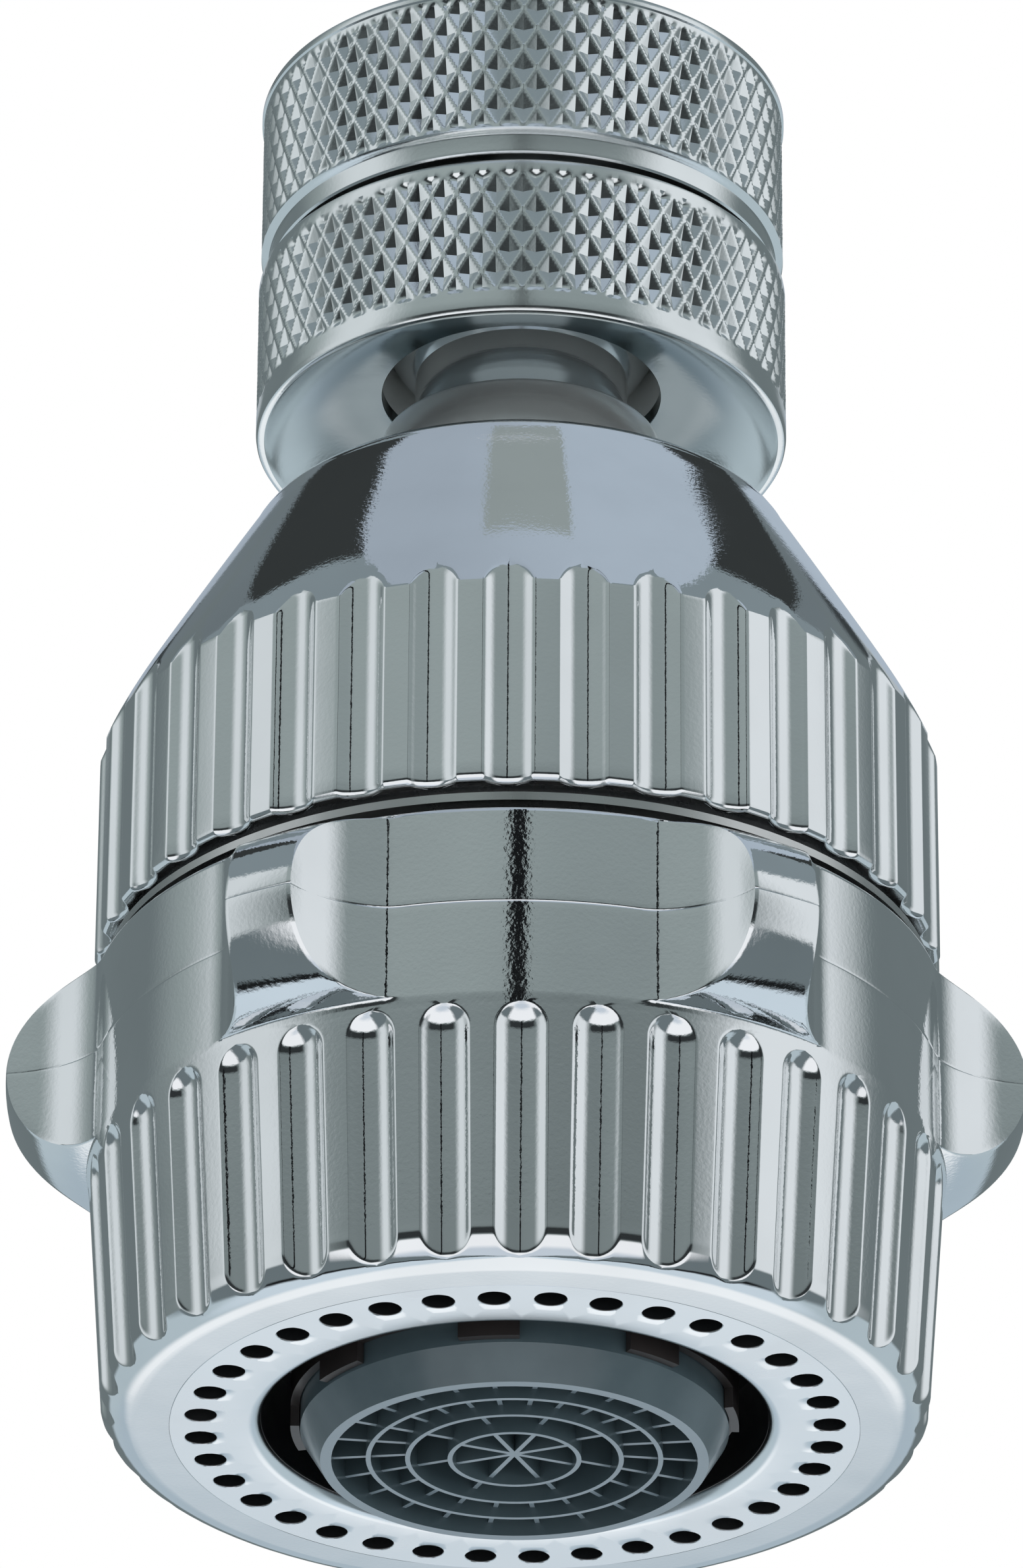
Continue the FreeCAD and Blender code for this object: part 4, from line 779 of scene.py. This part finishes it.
def studio():
    """White to the camera, and to metal a tent: grey walls with a broad bright card at each side, a pale
    ceiling with a dark gap beside it, a dark skirting, a pale table, and the narrow stand of the camera."""
    world = bpy.data.worlds.new("studio")
    bpy.context.scene.world = world
    world.use_nodes = True
    kit = Kit(world.node_tree)
    x, y, z = kit.axes(kit.node("ShaderNodeTexCoord", out="Generated"))
    azimuth = x.maths("ARCTAN2", 0.0 - y) * (180 / math.pi)
    elevation = z.maths("ARCSINE") * (180 / math.pi)
    side = (azimuth + 2.0).size()
    far_side = (azimuth - 4.0).size()
    right = x.rises(-0.25, 0.25)
    front, rear = side.falls(38, 52), side.rises(98, 118)

    low_wall = kit.blend(right, (0.2, 0.238, 0.243, 1), (0.172, 0.205, 0.21, 1))
    high_wall = kit.blend(right, (0.318, 0.372, 0.375, 1), (0.272, 0.322, 0.327, 1))
    wall = kit.blend(elevation.rises(15, 32), low_wall, high_wall)
    wall = kit.blend(rear, wall, (0.155, 0.188, 0.197, 1))
    card = side.rises(44, 68) * far_side.falls(84, 108) * elevation.rises(-34, -6) * elevation.falls(44, 58)
    card_paint = kit.blend(right, (0.68, 0.73, 0.755, 1), (0.76, 0.805, 0.835, 1))
    room = kit.blend(card, wall, card_paint)

    skirting = elevation.rises(-14, -6) * elevation.falls(8, 17) * front
    room = kit.blend(skirting, room, (0.03, 0.035, 0.037, 1))
    table = (elevation - 9.0 * rear).falls(-17, -10)
    under = kit.blend(side.rises(86, 94) * elevation.falls(-52, -46), (0.15, 0.185, 0.2, 1), (0.012, 0.014, 0.015, 1))
    cloth = kit.blend(elevation.falls(-64, -46), (0.95, 0.97, 1.0, 1), (0.6, 0.67, 0.75, 1))
    near_table = kit.blend(side.rises(45, 60), cloth, under)
    side_cloth = kit.blend(elevation.falls(-52, -42), (0.46, 0.55, 0.6, 1), (0.62, 0.72, 0.8, 1))
    back_cloth = kit.blend(elevation.falls(-28, -21.5), (0.42, 0.51, 0.58, 1), (0.93, 0.97, 1.0, 1))
    far_table = kit.blend(side.rises(148, 165), side_cloth, back_cloth)
    room = kit.blend(table, room, kit.blend(side.rises(98, 110), near_table, far_table))

    across = x.size() / z.maths("MAXIMUM", 0.05)
    along = (0.0 - y) / z.maths("MAXIMUM", 0.05)
    ceiling = kit.blend(x.rises(-0.3, 0.3), (0.355, 0.415, 0.485, 1), (0.425, 0.5, 0.585, 1))
    patch_place = x / z.maths("MAXIMUM", 0.05) - 0.015
    patch = patch_place.size().falls(0.098, 0.112) * along.falls(0.02, 0.028)
    ceiling = kit.blend(patch, ceiling, (0.295, 0.34, 0.342, 1))
    border = 34.0 + right * 5.0
    far_wall = kit.blend((elevation - border).falls(-1.5, 1.5), (0.155, 0.188, 0.205, 1), (0.45, 0.5, 0.53, 1))
    shade = (elevation - border - 2.4).size().falls(0.6, 2.4) * 0.9
    far_wall = kit.blend(shade, far_wall, (0.03, 0.036, 0.039, 1))
    gap_end = along - (2.7 * across - 2.02) - (1.0 - right) * 0.05
    gap = kit.blend(gap_end.rises(-0.02, 0.02), far_wall, (0.035, 0.04, 0.041, 1))
    gap = kit.blend((along + 0.093 + (across - 0.341) * 1.6).rises(-0.012, 0.012), gap, (0.22, 0.27, 0.295, 1))
    overhead = kit.blend((across - 0.352 - right * 0.062).rises(0.0, 0.012), ceiling, gap)
    room = kit.blend(elevation.rises(44, 48), room, overhead)
    room = kit.blend(side.rises(150, 156) * elevation.rises(27, 31), room, overhead)

    stand = azimuth.size().falls(1.5, 3.0) * elevation.rises(-14, -10) * elevation.falls(66, 72)
    room = kit.blend(stand, room, (0.008, 0.009, 0.01, 1))

    path = kit.node("ShaderNodeLightPath", out="Is Glossy Ray")
    mirrored = path.maths("MAXIMUM", path.output("Is Transmission Ray"))
    soft = kit.blend(mirrored, (0.7, 0.71, 0.72, 1), room)
    final = kit.blend(path.output("Is Camera Ray"), soft, (1.0, 1.0, 1.0, 1))
    background = world.node_tree.nodes["Background"]
    kit.plug(background.inputs["Color"], final)
    background.inputs["Strength"].default_value = 1.0


def floor():
    """A plain pale floor well below the hanging head and the camera. Metal mirrors the tent's table, which
    stands for it, so that the floor itself lets mirrored rays through."""
    across = 3000.0
    corners = np.array([(-across, -across), (across, -across), (across, across), (-across, across)])
    points = np.concatenate([corners, np.full((4, 1), -650.0)], axis=1)
    piece = finish_mesh("floor", points, np.array([[0, 1, 2, 3]]), 30)
    made, kit, shader = material("floor_paint", Base_Color=(0.86, 0.87, 0.88, 1), Roughness=0.8)
    path = kit.node("ShaderNodeLightPath", out="Is Glossy Ray")
    mirrored = path.maths("MAXIMUM", path.output("Is Transmission Ray"))
    paint_or_clear = kit.node("ShaderNodeMixShader", sockets=(
        mirrored, Wire(kit, shader.outputs[0]), kit.node("ShaderNodeBsdfTransparent")))
    kit.plug(made.node_tree.nodes["Material Output"].inputs["Surface"], paint_or_clear)
    paint(piece, made)


def lamp(name, place, size, power):
    """A soft square lamp that points at the head. Metal doesn't mirror it."""
    data = bpy.data.lights.new(name, "AREA")
    data.shape = "SQUARE"
    data.size = size
    data.energy = power
    made = bpy.data.objects.new(name, data)
    made.location = place
    made.rotation_euler = (Vector((0, 0, -0.04)) - Vector(place)).to_track_quat("-Z", "Y").to_euler()
    made.visible_glossy = False
    bpy.context.scene.collection.objects.link(made)


make_pieces()
camera()
studio()
floor()
lamp("key", (-0.7, -0.7, 0.5), 0.5, 6.0)
lamp("fill", (0.8, -0.6, -0.2), 0.6, 3.0)
bpy.context.scene.view_settings.view_transform = "Standard"
